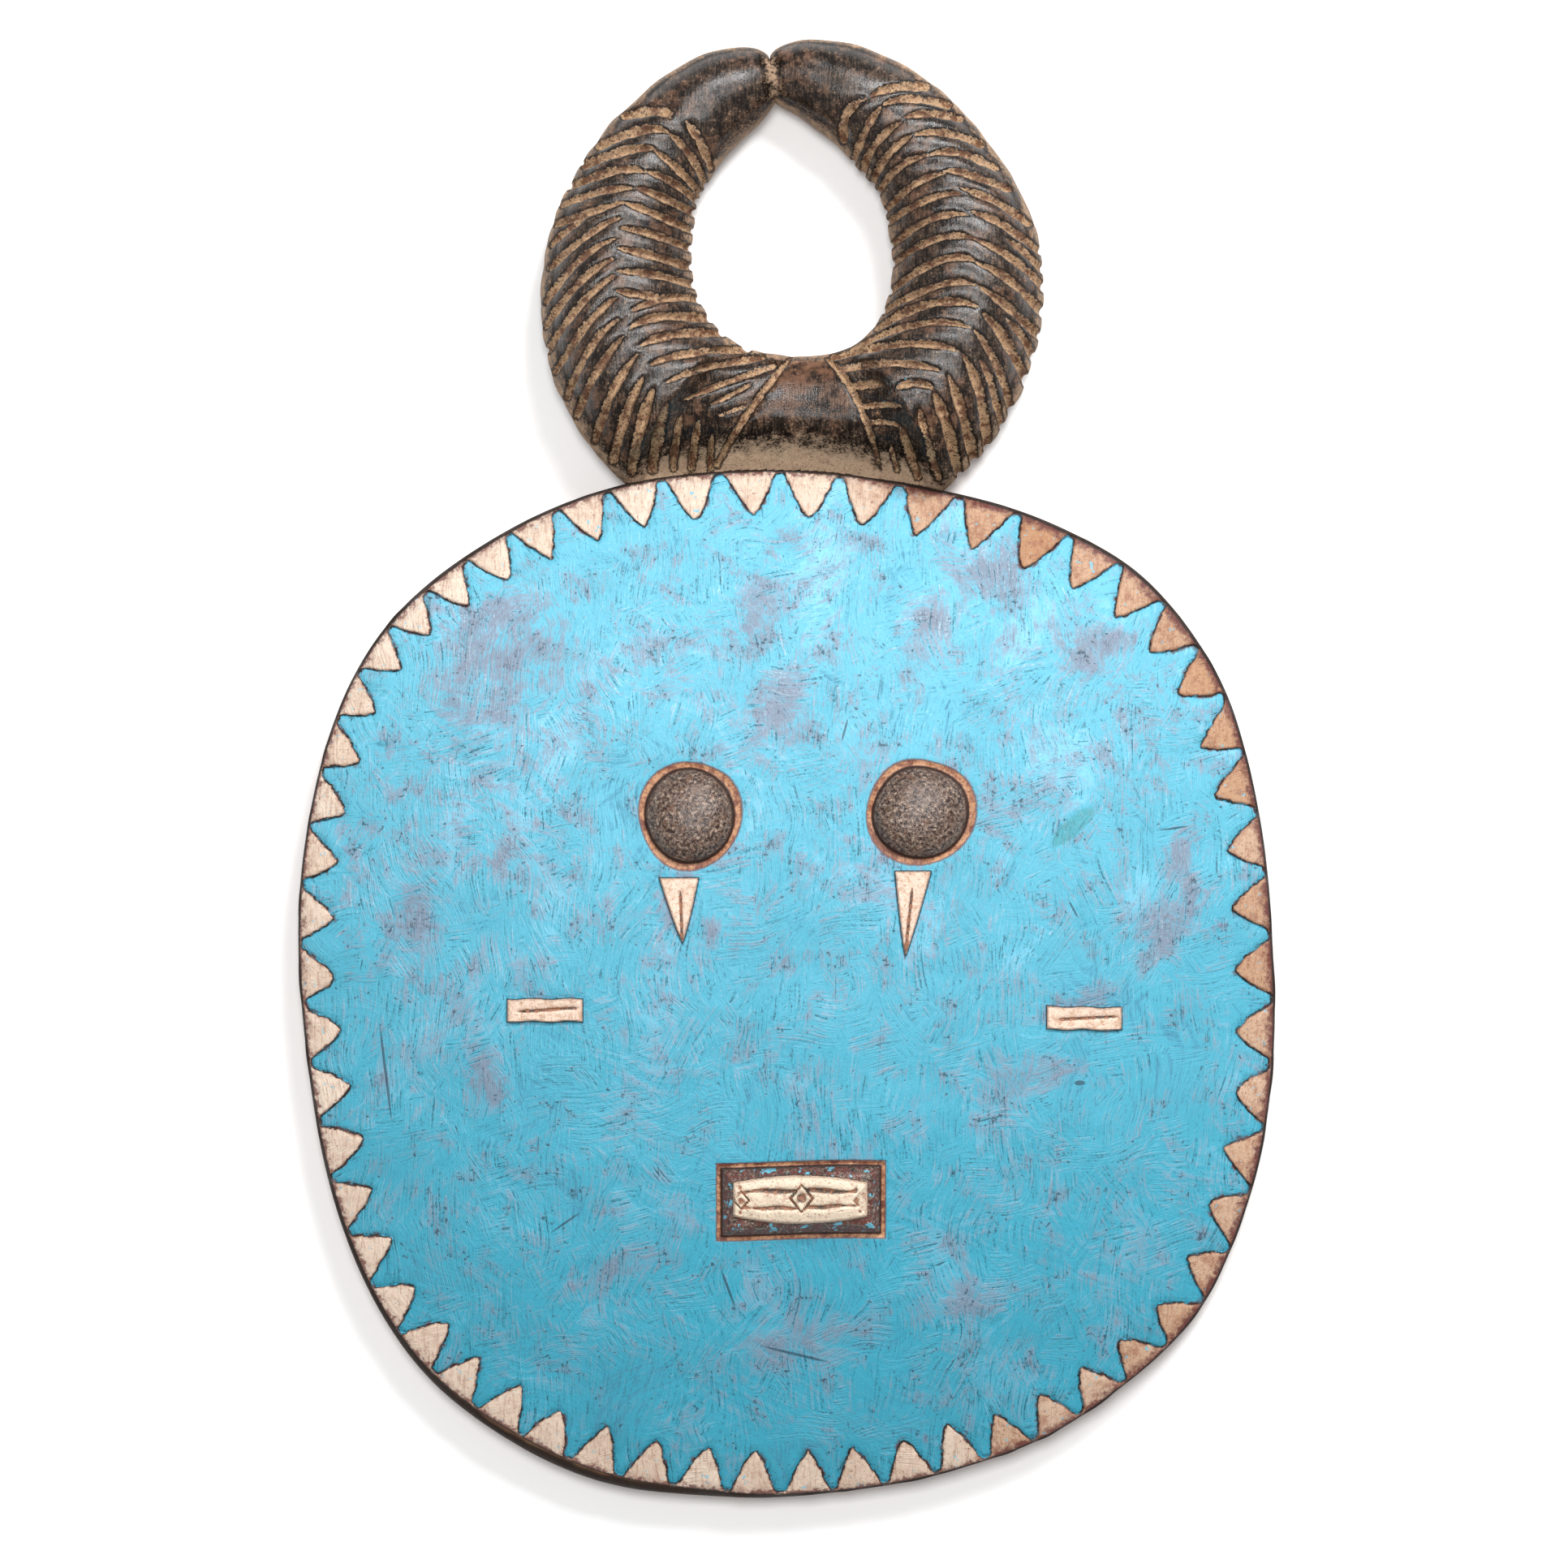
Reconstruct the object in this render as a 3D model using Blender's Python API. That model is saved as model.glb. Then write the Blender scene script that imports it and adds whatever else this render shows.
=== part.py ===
"""Carved wooden face mask: a domed disc of a face with a toothed border, and two horns that meet in a ring.

Metres, +Z up. The mask lies on its back, face up. +Y runs up the face to the horns. The origin is on the plane
that the mask lies on, under the middle of its box. It is carved from one block, so it is one solid.
"""
import bpy
import numpy as np
from math import pi, radians

# Face, seen from the front
FACE_HALF_WIDTH = 0.1995
FACE_HALF_HEIGHT = 0.2097
FACE_TURN = radians(3.7)
# Roundness of the outline in each quarter from the upper right, counter-clockwise: 2 is an ellipse
FACE_CORNERS = (2.66, 2.56, 2.49, 2.315)

# Face, seen from the side
RIM_HEIGHT = 0.020
RIM_FLARE = 0.0012
RIM_LAND = 0.010
DOME_RISE = 0.038
DOME_POWER = 2.3
WALL = 0.013
HOLLOW_EDGE = 0.0235
# Rings of the hollow and of the dome: share of the way from the middle to the edge, and one column kept in how many
HOLLOW_RINGS = ((0.10, 18), (0.25, 6), (0.42, 6), (0.58, 6), (0.72, 3), (0.83, 3))
DOME_RINGS = ((0.80, 3), (0.68, 3), (0.55, 6), (0.40, 6), (0.25, 6), (0.10, 18))
CHORDS = 2880

# Border of teeth
TEETH = 57
TOOTH_DEPTH = 0.0165
TOOTH_DEPTH_SWING = 0.0025
TOOTH_DEPTH_SWING_TURN = radians(15.0)
TOOTH_RELIEF = 0.0013
TOOTH_FOOT = 0.0008
BORDER_CLEARANCE = 0.0030
FIRST_TOOTH = 0.46
# How far the carver's spacing drifts from even, in teeth: waves round the rim, cosine part, sine part
TOOTH_DRIFT = ((1, -0.18, 0.36), (2, -0.10, 0.22), (3, 0.09, -0.01), (4, 0.07, 0.11))
# One tooth from gap to gap: place across it, and share of its depth reached there
TOOTH_COLUMNS = ((-1.0, 0.0), (-0.84, 0.0), (-0.48, 0.60), (0.0, 1.0), (0.48, 0.60), (0.84, 0.0))

# Ring of horns, round a point above the face's top edge
RING_ABOVE_FACE = 0.0936
RING_SIDE_SHIFT = 0.0020
RING_ROOT = 0.0055
NECK_ANGLE = 97.0
NECK_OUTER = 0.0776
NECK_ARCH = 0.0140
TIP_ROUNDING = 12.0
# Rows of the smooth tips, in degrees from the neck
TIP_ROWS = (0.0, 0.8, 2.6, 5.6, 9.6, 15.0, 24.0)
RAY_SAMPLES = 1200
# Inner and outer edge of the ring at angles in degrees, counter-clockwise from +X, from the left tip round
RING_OUTLINE = (
    (97, 0.0604, 0.0838), (105, 0.0530, 0.0850), (115, 0.0494, 0.0868), (130, 0.0458, 0.0876),
    (150, 0.0434, 0.0910), (180, 0.0411, 0.1010), (210, 0.0443, 0.1128), (235, 0.0457, 0.1190),
    (270, 0.0451, 0.1240), (305, 0.0474, 0.1171), (330, 0.0448, 0.1108), (360, 0.0404, 0.1015),
    (390, 0.0411, 0.0905), (412, 0.0426, 0.0876), (427, 0.0462, 0.0868), (440, 0.0505, 0.0858),
    (457, 0.0604, 0.0838),
)
HORN_BACK = 0.0040
HORN_EDGE = 0.0160
HORN_ARCH = 1.05
HORN_ROUNDNESS = 2.2
HORN_ROOT_BLEND = 0.010
ROOT_ARCH_LOSS = 0.28
# Section of a horn: place from its inner edge to its outer one, and how deep a cut is there
HORN_FRONT = ((-1.0, 0.0), (-0.80, 0.9), (-0.42, 1.0), (0.0, 0.0), (0.42, 1.0), (0.80, 0.9), (1.0, 0.0))
HORN_REAR = (0.72, 0.0, -0.72)

# Chevron cuts: where they cross the ridge, in degrees round the ring
CUT_WIDTH = 0.0036
CUT_DEPTH = 0.0020
RIDGE_RADIUS = 0.074
LEFT_CUTS = 19
LEFT_FIRST_CUT = 133.5
LEFT_LAST_CUT = 242.5
RIGHT_CUTS = 18
RIGHT_FIRST_CUT = 423.5
RIGHT_LAST_CUT = 300.5
# Slant of the cuts back from the ridge, in degrees round the ring, by the outer edge and by the inner one
OUTER_SLANT = 9.0
OUTER_SLANT_SWELL = 8.0
OUTER_SLANT_LOSS = 6.0
INNER_SLANT = 5.0
INNER_SLANT_GROWTH = 19.0
INNER_ROOM = 0.8
# Two lines that bound the smooth panel at the base: their angles at the ridge, the outer edge and the inner one
LEFT_PANEL_LINE = (256.0, 251.5, 268.0)
RIGHT_PANEL_LINE = (291.9, 291.5, 283.7)
PANEL_ROWS = 3

# Eyes, wedges, cheek bars and mouth, by their place from the middle of the face
FEATURE_ROOT = 0.0050
EYES = ((-0.0408, 0.0694), (0.0547, 0.0704))
EYE_RADIUS = 0.0195
EYE_HEIGHT = 0.0090
EYE_SIDES = 24
# Rings of an eye, as shares of its radius and of its height
EYE_PROFILE = ((1.0, 0.0), (0.95, 0.42), (0.80, 0.74), (0.50, 0.94))
WEDGE_HEIGHT = 0.0022
WEDGE_GROOVE = 0.0010
WEDGE_TAPER = 0.85
WEDGE_TIP = 0.0009
WEDGES = ((-0.0451, 0.0436, -0.0443, 0.0167, 0.0163), (0.0509, 0.0454, 0.0481, 0.0114, 0.0150))
BAR_LENGTH = 0.0310
BAR_WIDTH = 0.0094
BAR_HEIGHT = 0.0022
BAR_GROOVE = 0.0010
BARS = ((-0.0997, -0.0107), (0.1206, -0.0145))
MOUTH = (0.0053, -0.0884)
MOUTH_LENGTH = 0.0640
MOUTH_WIDTH = 0.0273
MOUTH_HEIGHT = 0.0060
MOUTH_SLOPE = 0.0040
LIP_LENGTH = 0.0543
LIP_WIDTH = 0.0170
LIP_HEIGHT = 0.0022
LIP_GROOVE = 0.0014
LIP_GROOVE_PLACE = 0.17
LIP_KNOB = 0.09
STEP = 0.0006

PAINTED_BLUE = (0.07, 0.42, 0.60, 1.0)


def outline_reach(angle):
    """Distance from the face's middle to its edge at each angle: a turned superellipse, one power a quarter."""
    turned = angle - FACE_TURN
    power = np.choose((np.floor(turned / (pi / 2)) % 4).astype(int), FACE_CORNERS)
    across = np.abs(np.cos(turned)) / FACE_HALF_WIDTH
    along = np.abs(np.sin(turned)) / FACE_HALF_HEIGHT
    return (across ** power + along ** power) ** (-1 / power)


def face_height(x, y):
    """Front of the face at each place: the rim's height plus a dome that falls off to it by a power law."""
    angle = np.arctan2(y, x) % (2 * pi)
    share = np.minimum(np.hypot(x, y) / outline_reach(angle), 1.0)
    return RIM_HEIGHT + DOME_RISE * (1 - share ** DOME_POWER)


def rim_angles(shares):
    """Angles round the face at shares of its perimeter, from the summed lengths of short chords."""
    angle = np.linspace(0, 2 * pi, CHORDS + 1)
    reach = outline_reach(angle)
    steps = np.hypot(np.diff(reach * np.cos(angle)), np.diff(reach * np.sin(angle)))
    length = np.concatenate(([0.0], np.cumsum(steps)))
    whole = np.floor(shares)
    return np.interp(shares - whole, length / length[-1], angle) + 2 * pi * whole


def smooth_curve(knots, values, at):
    """Cubic curve through the knots, whose slope at each one is the mean of the slopes beside it."""
    slopes = np.gradient(values, knots)
    i = np.clip(np.searchsorted(knots, at, side="right") - 1, 0, len(knots) - 2)
    step = knots[i + 1] - knots[i]
    t = np.clip((at - knots[i]) / step, 0, 1)
    start = (1 + 2 * t) * (1 - t) ** 2 * values[i] + t * (1 - t) ** 2 * step * slopes[i]
    end = t ** 2 * (3 - 2 * t) * values[i + 1] + t ** 2 * (t - 1) * step * slopes[i + 1]
    return start + end


def join_rings(faces, first, second):
    """Faces between two closed rings of points, where one may have two or three times as many as the other."""
    fine, coarse = (first, second) if len(first) >= len(second) else (second, first)
    ratio = len(fine) // len(coarse)
    for i in range(len(coarse)):
        near, far = coarse[i], coarse[(i + 1) % len(coarse)]
        row = [fine[(i * ratio + j) % len(fine)] for j in range(ratio + 1)]
        if ratio == 1:
            pieces = [(row[0], row[1], far, near)]
        else:
            middle = (ratio + 1) // 2
            pieces = [(near, row[j], row[j + 1]) for j in range(middle)]
            pieces.append((near, row[middle], far))
            pieces += [(far, row[j], row[j + 1]) for j in range(middle, ratio)]
        faces.extend(pieces if fine is first else [piece[::-1] for piece in pieces])


def shell_of_rings(rings):
    """Closed surface through a list of rings, with a fan over the first ring and over the last."""
    points = np.concatenate(rings + [rings[0].mean(axis=0)[None], rings[-1].mean(axis=0)[None]])
    starts = np.cumsum([0] + [len(ring) for ring in rings])
    ids = [list(range(starts[i], starts[i + 1])) for i in range(len(rings))]
    faces = []
    for before, after in zip(ids, ids[1:]):
        join_rings(faces, before, after)
    back, front = len(points) - 2, len(points) - 1
    faces += [(back, b, a) for a, b in zip(ids[0], ids[0][1:] + ids[0][:1])]
    faces += [(front, a, b) for a, b in zip(ids[-1], ids[-1][1:] + ids[-1][:1])]
    return points, faces


def tooth_columns():
    """Perimeter share and share of the tooth depth, for every column round the border."""
    number = np.arange(-1, TEETH + 1)
    turn = 2 * pi * number / TEETH
    drift = sum(cosine * np.cos(waves * turn) + sine * np.sin(waves * turn) for waves, cosine, sine in TOOTH_DRIFT)
    tip = (number + FIRST_TOOTH + drift) / TEETH
    gap = (tip[1:] + tip[:-1]) / 2
    shares = []
    for place, _ in TOOTH_COLUMNS:
        side = gap[:-1] if place < 0 else gap[1:]
        shares.append(tip[1:-1] + abs(place) * (side - tip[1:-1]))
    depth = np.array([depth for _, depth in TOOTH_COLUMNS])
    return np.stack(shares, axis=1).ravel(), np.tile(depth, TEETH)


def face_rings():
    """Rings of the face from the middle of its hollow, out over the land and the rim, and in to the dome's top."""
    share, rise = tooth_columns()
    angle = rim_angles(share)
    reach = outline_reach(angle)
    depth = TOOTH_DEPTH - TOOTH_DEPTH_SWING * np.cos(2 * (angle + TOOTH_DEPTH_SWING_TURN))
    tooth = RIM_FLARE + TOOTH_FOOT + rise * depth
    border = RIM_FLARE + 2 * TOOTH_FOOT + TOOTH_DEPTH + TOOTH_DEPTH_SWING + BORDER_CLEARANCE
    gap = np.arange(len(share)) % len(TOOTH_COLUMNS) == 0
    relief = np.where(gap, 0.0, TOOTH_RELIEF)

    def ring(inset, height, every=1):
        """Points at an inset from the edge, at a height that is worked out from their place."""
        x = ((reach - inset) * np.cos(angle))[::every]
        y = ((reach - inset) * np.sin(angle))[::every]
        return np.stack((x, y, height(x, y)), axis=1)

    def hollow(x, y):
        """Height of the hollow, one wall behind the front."""
        return face_height(x, y) - WALL

    def tooth_top(x, y):
        """Height of the front with the relief of the teeth."""
        return face_height(x, y) + relief

    rings = [ring(reach * (1 - part), hollow, every) for part, every in HOLLOW_RINGS]
    rings.append(ring(HOLLOW_EDGE, hollow, 3))
    rings += [ring(inset, lambda x, y: 0 * x, 3) for inset in (RIM_LAND, 0.0)]
    rings += [ring(inset, tooth_top) for inset in (RIM_FLARE, tooth)]
    rings += [ring(inset, face_height) for inset in (tooth + TOOTH_FOOT, border)]
    rings += [ring(reach * (1 - part), face_height, every) for part, every in DOME_RINGS]
    return rings


def face_entry(centre, angle):
    """How far along each ray from the ring's centre the face's edge is met, or the ring's own reach if never."""
    travel = np.linspace(0.0, RING_ABOVE_FACE + FACE_HALF_HEIGHT, RAY_SAMPLES)
    x = centre[0] + np.cos(angle)[..., None] * travel
    y = centre[1] + np.sin(angle)[..., None] * travel
    inside = np.hypot(x, y) < outline_reach(np.arctan2(y, x) % (2 * pi))
    return np.where(inside.any(axis=-1), travel[inside.argmax(axis=-1)], travel[-1])


def ring_centre():
    """Centre of the ring of horns: its height above the face's top edge is fixed."""
    return RING_SIDE_SHIFT, float(outline_reach(np.array(pi / 2))) + RING_ABOVE_FACE


def horn_surface(degrees, place, rear, sink):
    """Point of the horns at an angle round the ring and a place across it, on the front or on the flat back.

    The front arches from edge to edge. Where the ring grows out of the face, its outer side falls as a bell.
    """
    centre = ring_centre()
    angle = np.radians(degrees)
    knots, inner, outer = (np.array(column, dtype=float) for column in zip(*RING_OUTLINE))
    inner = smooth_curve(knots, inner, degrees)
    outer = smooth_curve(knots, outer, degrees)
    root = face_entry(centre, angle) + RING_ROOT
    rooted = np.clip((outer - root) / HORN_ROOT_BLEND + 1, 0, 1)
    outer = np.minimum(outer, root)
    from_neck = np.minimum(np.abs(degrees - NECK_ANGLE), np.abs(degrees - NECK_ANGLE - 360)) / TIP_ROUNDING
    full = np.sqrt(np.clip(1 - (1 - np.minimum(from_neck, 1)) ** 2, 0, 1))
    arch = HORN_ARCH * (outer - inner) / 2 * (1 - ROOT_ARCH_LOSS * rooted)
    outer = NECK_OUTER + (outer - NECK_OUTER) * full
    arch = NECK_ARCH + (arch - NECK_ARCH) * full
    round_side = np.sqrt(np.clip(1 - np.abs(place) ** HORN_ROUNDNESS, 0, 1))
    bell = (np.cos(pi * np.clip(place, 0, 1)) + 1) / 2
    front = np.where(place > 0, round_side + (bell - round_side) * rooted, round_side)
    height = HORN_EDGE + arch * front - sink
    distance = (inner + outer) / 2 + (outer - inner) / 2 * place
    back = HORN_BACK + np.zeros_like(distance)
    return np.stack((centre[0] + distance * np.cos(angle), centre[1] + distance * np.sin(angle),
                     np.where(rear, back, height)), axis=-1)


def cut_rows(middle):
    """Angles of the three rows of each cut, by its edge, its bottom and its edge, and how deep each row is."""
    half = np.degrees(CUT_WIDTH / 2 / RIDGE_RADIUS)
    rows = np.asarray(middle)[:, None] + half * np.array((-1.0, 0.0, 1.0))
    return rows.ravel(), np.tile((0.0, 1.0, 0.0), len(rows))


def horn_cuts(first, last, count, panel_line):
    """Rows of one horn's cuts, by rising angle: angles at the ridge, the outer edge and the inner one, and depth.

    The outer slant swells half way down the horn. The inner one grows towards the base, while there is room.
    """
    share = np.linspace(0, 1, count)
    side = np.sign(last - first)
    ridge = first + (last - first) * share
    outer = OUTER_SLANT + OUTER_SLANT_SWELL * np.sin(pi * share) - OUTER_SLANT_LOSS * share ** 2
    inner = INNER_SLANT + INNER_SLANT_GROWTH * share ** 1.5
    inner = np.minimum(inner, INNER_ROOM * np.abs(panel_line[2] - ridge))
    if side < 0:
        ridge, outer, inner = ridge[::-1], outer[::-1], inner[::-1]
    rows, depth = cut_rows(ridge)
    return rows, cut_rows(ridge + side * outer)[0], cut_rows(ridge + side * inner)[0], depth


def horn_rows():
    """Rows round the ring from the left tip: angles at the ridge, the outer edge and the inner one, and depth."""
    left = horn_cuts(LEFT_FIRST_CUT, LEFT_LAST_CUT, LEFT_CUTS, LEFT_PANEL_LINE)
    right = horn_cuts(RIGHT_FIRST_CUT, RIGHT_LAST_CUT, RIGHT_CUTS, RIGHT_PANEL_LINE)
    lines = [[cut_rows([angle])[0] for angle in line] + [cut_rows([0])[1]]
             for line in (LEFT_PANEL_LINE, RIGHT_PANEL_LINE)]
    panel_share = np.arange(1, PANEL_ROWS + 1) / (PANEL_ROWS + 1)
    panel = [a + (b - a) * panel_share for a, b in zip(LEFT_PANEL_LINE, RIGHT_PANEL_LINE)] + [0 * panel_share]
    tips = NECK_ANGLE + np.array(TIP_ROWS)
    far_tips = 2 * NECK_ANGLE + 360 - tips[:0:-1]
    first_tip = [tips, tips + (tips == tips[-1]) * OUTER_SLANT, tips + (tips == tips[-1]) * INNER_SLANT, 0 * tips]
    last_tip = [far_tips, far_tips - (far_tips == far_tips[0]) * OUTER_SLANT,
                far_tips - (far_tips == far_tips[0]) * INNER_SLANT, 0 * far_tips]
    parts = [first_tip, left, lines[0], panel, lines[1], right, last_tip]
    return [np.concatenate(column) for column in zip(*parts)]


def horn_ring():
    """Closed sweep round the ring: its rows lean back along the cuts, and its cuts are rows sunk on both sides."""
    ridge, outer, inner, depth = (row[:, None] for row in horn_rows())
    place = np.array([p for p, _ in HORN_FRONT] + list(HORN_REAR))[None]
    cut = np.array([c for _, c in HORN_FRONT] + [0.0] * len(HORN_REAR))[None]
    rear = np.arange(place.size)[None] >= len(HORN_FRONT)
    degrees = ridge + (np.where(place > 0, outer, inner) - ridge) * np.abs(place)
    points = horn_surface(degrees, place, rear, CUT_DEPTH * depth * cut)
    ids = np.arange(points.shape[0] * points.shape[1]).reshape(points.shape[:2])
    after = np.roll(ids, -1, axis=0)
    faces = np.stack((ids, np.roll(ids, -1, axis=1), np.roll(after, -1, axis=1), after), axis=-1)
    return points.reshape(-1, 3), faces.reshape(-1, 4)


def eye(place):
    """Boss of one eye: rings of a low dome that stands on the face, from its root in the wood to its top."""
    angle = np.linspace(0, 2 * pi, EYE_SIDES, endpoint=False)
    profile = ((1.0, -FEATURE_ROOT / EYE_HEIGHT),) + EYE_PROFILE
    rings = []
    for radius, height in profile:
        x = place[0] + EYE_RADIUS * radius * np.cos(angle)
        y = place[1] + EYE_RADIUS * radius * np.sin(angle)
        rings.append(np.stack((x, y, face_height(x, y) + EYE_HEIGHT * height), axis=1))
    points, faces = shell_of_rings(rings)
    points[-1, 2] = face_height(*place) + EYE_HEIGHT
    return points, faces


def draped_block(x, y, height):
    """Closed block over a grid of places, whose top is that height above the face and whose root is in the wood."""
    surface = face_height(x, y)
    top = np.stack((x, y, surface + height), axis=-1)
    root = np.stack((x, y, surface - FEATURE_ROOT), axis=-1)
    rows, columns = x.shape
    points = np.concatenate((top.reshape(-1, 3), root.reshape(-1, 3)))
    ids = np.arange(rows * columns).reshape(rows, columns)
    faces = []
    for i in range(rows - 1):
        for j in range(columns - 1):
            quad = [ids[i, j], ids[i, j + 1], ids[i + 1, j + 1], ids[i + 1, j]]
            faces.append(tuple(quad))
            faces.append(tuple(q + ids.size for q in quad[::-1]))
    edge = list(ids[0, :-1]) + list(ids[:-1, -1]) + list(ids[-1, :0:-1]) + list(ids[:0:-1, 0])
    for a, b in zip(edge, edge[1:] + edge[:1]):
        faces.append((a, a + ids.size, b + ids.size, b))
    return points, faces


def wedge(top_x, top_y, tip_x, tip_y, width):
    """Wedge that hangs under an eye: it narrows to its tip, and a groove runs down its middle."""
    end = 1 - WEDGE_TIP / np.hypot(tip_x - top_x, tip_y - top_y)
    down, across = np.meshgrid((end, end / 2, 0.0), (-0.5, 0.0, 0.5), indexing="ij")
    x = top_x + (tip_x - top_x) * down + width * (1 - down) ** WEDGE_TAPER * across
    y = top_y + (tip_y - top_y) * down
    return draped_block(x, y, WEDGE_HEIGHT - WEDGE_GROOVE * (across == 0))


def cheek_bar(place):
    """Short bar on a cheek, with a groove along its middle."""
    along, across = np.meshgrid((-0.5, -0.3, 0.3, 0.5), (-0.5, 0.0, 0.5))
    groove = (across == 0) & (np.abs(along) < 0.5)
    return draped_block(place[0] + BAR_LENGTH * along, place[1] + BAR_WIDTH * across, BAR_HEIGHT - BAR_GROOVE * groove)


def both_ways(places):
    """A list of places out from a middle, with the same places on its other side."""
    return np.concatenate((-np.array(places[::-1]), places))


def mouth():
    """Mouth: a block with sloping sides, a pad of lips on it, two long grooves and a knob between them."""
    half_lip, half_foot = LIP_WIDTH / 2, MOUTH_WIDTH / 2
    half_line, half_end = LIP_LENGTH / 2, MOUTH_LENGTH / 2
    groove_y = LIP_GROOVE_PLACE * LIP_WIDTH
    line_y = both_ways((groove_y / 2, groove_y, 2 * groove_y - STEP, half_lip, half_lip + STEP, half_foot - STEP,
                        half_foot))
    line_x = both_ways((LIP_KNOB * LIP_LENGTH / 2, LIP_KNOB * LIP_LENGTH, half_line - MOUTH_SLOPE, half_line,
                        half_line + STEP, half_end - STEP, half_end))
    x, y = np.meshgrid(line_x, line_y)
    inset = np.minimum(half_end - np.abs(x), half_foot - np.abs(y))
    height = MOUTH_HEIGHT * np.clip(inset / MOUTH_SLOPE, 0, 1) ** 0.6
    on_lip = (np.abs(x) < half_line + STEP / 2) & (np.abs(y) < half_lip + STEP / 2)
    along = (np.abs(x) > LIP_KNOB * LIP_LENGTH * 0.9) & (np.abs(x) < half_line - MOUTH_SLOPE / 2)
    groove = along & (np.abs(np.abs(y) - groove_y) < STEP / 2)
    return draped_block(MOUTH[0] + x, MOUTH[1] + y, height + LIP_HEIGHT * on_lip - LIP_GROOVE * groove)


def gather(shapes):
    """Points and faces of several closed shapes, as one list of each."""
    points, faces, start = [], [], 0
    for shape_points, shape_faces in shapes:
        points.append(shape_points)
        faces += [tuple(int(i) + start for i in face) for face in shape_faces]
        start += len(shape_points)
    return np.concatenate(points), faces


def new_object(name, points, faces, material):
    """Object of a mesh that is smooth except where its faces meet at a clear angle."""
    mesh = bpy.data.meshes.new(name)
    mesh.from_pydata(points.tolist(), [], faces)
    mesh.materials.append(material)
    mesh.shade_smooth()
    mesh.set_sharp_from_angle(angle=radians(35))
    obj = bpy.data.objects.new(name, mesh)
    bpy.context.collection.objects.link(obj)
    return obj


def painted_wood():
    """Blue-painted wood, the colour of most of the mask."""
    material = bpy.data.materials.new("painted_wood")
    material.use_nodes = True
    shader = material.node_tree.nodes["Principled BSDF"]
    shader.inputs["Base Color"].default_value = PAINTED_BLUE
    shader.inputs["Roughness"].default_value = 0.55
    shader.inputs["Metallic"].default_value = 0.0
    return material


def build_mask():
    """Face and carved-on forms, centred on the origin and made one body."""
    face_points, face_faces = shell_of_rings(face_rings())
    carved = [horn_ring(), mouth()] + [eye(place) for place in EYES]
    carved += [wedge(*sizes) for sizes in WEDGES] + [cheek_bar(place) for place in BARS]
    carved_points, carved_faces = gather(carved)
    both = np.concatenate((face_points, carved_points))
    middle = (both.min(axis=0) + both.max(axis=0)) / 2 * (1, 1, 0)
    material = painted_wood()
    mask = new_object("mask", face_points - middle, face_faces, material)
    forms = new_object("carved_forms", carved_points - middle, carved_faces, material)
    forms.hide_render = True
    forms.display_type = "WIRE"
    join = mask.modifiers.new("carved from one block", "BOOLEAN")
    join.operation = "UNION"
    join.solver = "EXACT"
    join.object = forms
    return mask


for old in list(bpy.data.objects):
    bpy.data.objects.remove(old, do_unlink=True)
build_mask()
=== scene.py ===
"""Carved and painted wooden face mask: its finished surface, its paint and wax, and a pale stage for it.

Metres, +Z up. The mask lies on its back, face up, and +Y runs up the face to the ring of horns.
"""
import bpy
import numpy as np
from math import cos, pi, radians, sin
from mathutils.geometry import delaunay_2d_cdt
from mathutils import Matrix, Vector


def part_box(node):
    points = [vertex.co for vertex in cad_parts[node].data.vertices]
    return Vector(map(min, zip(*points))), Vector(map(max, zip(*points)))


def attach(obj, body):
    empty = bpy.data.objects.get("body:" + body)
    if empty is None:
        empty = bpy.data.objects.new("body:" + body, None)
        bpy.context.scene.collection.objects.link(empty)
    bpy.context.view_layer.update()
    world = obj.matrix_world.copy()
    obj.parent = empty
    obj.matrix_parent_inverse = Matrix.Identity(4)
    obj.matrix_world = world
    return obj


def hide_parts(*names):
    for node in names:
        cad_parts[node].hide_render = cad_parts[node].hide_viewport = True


bl_info = {
    "name": "Carved Face Mask",
    "version": (1, 0, 0),
    "blender": (4, 5, 0),
    "location": "View3D > Sidebar > Mask",
    "description": "Carves and paints a wooden face mask with a toothed border and a ring of horns",
    "category": "Add Mesh",
}

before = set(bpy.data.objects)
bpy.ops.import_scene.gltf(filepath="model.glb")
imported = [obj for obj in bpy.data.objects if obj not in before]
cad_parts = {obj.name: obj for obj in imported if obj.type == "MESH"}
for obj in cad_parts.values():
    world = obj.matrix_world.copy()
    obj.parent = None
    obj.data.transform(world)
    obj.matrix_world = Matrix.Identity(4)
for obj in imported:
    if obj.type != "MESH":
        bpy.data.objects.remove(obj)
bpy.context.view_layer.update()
MASK_LOW, MASK_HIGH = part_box("mask")
MM = 0.001

# Photograph: its width in pixels, the pixel over the world's origin, and real size of one pixel at the rim
PHOTO_WIDTH = 1932
PHOTO_ORIGIN = (970.0, 947.0)
PHOTO_MIDDLE = (966.0, 966.0)
PIXEL = 0.001 / 3
RIM_LEVEL = 0.020
CAMERA_DISTANCE = 2.2

# Roundness of the face's outline in each quarter from the upper right, counter-clockwise: 2 is an ellipse
FACE_CORNERS = (2.66, 2.56, 2.49, 2.315)
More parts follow.
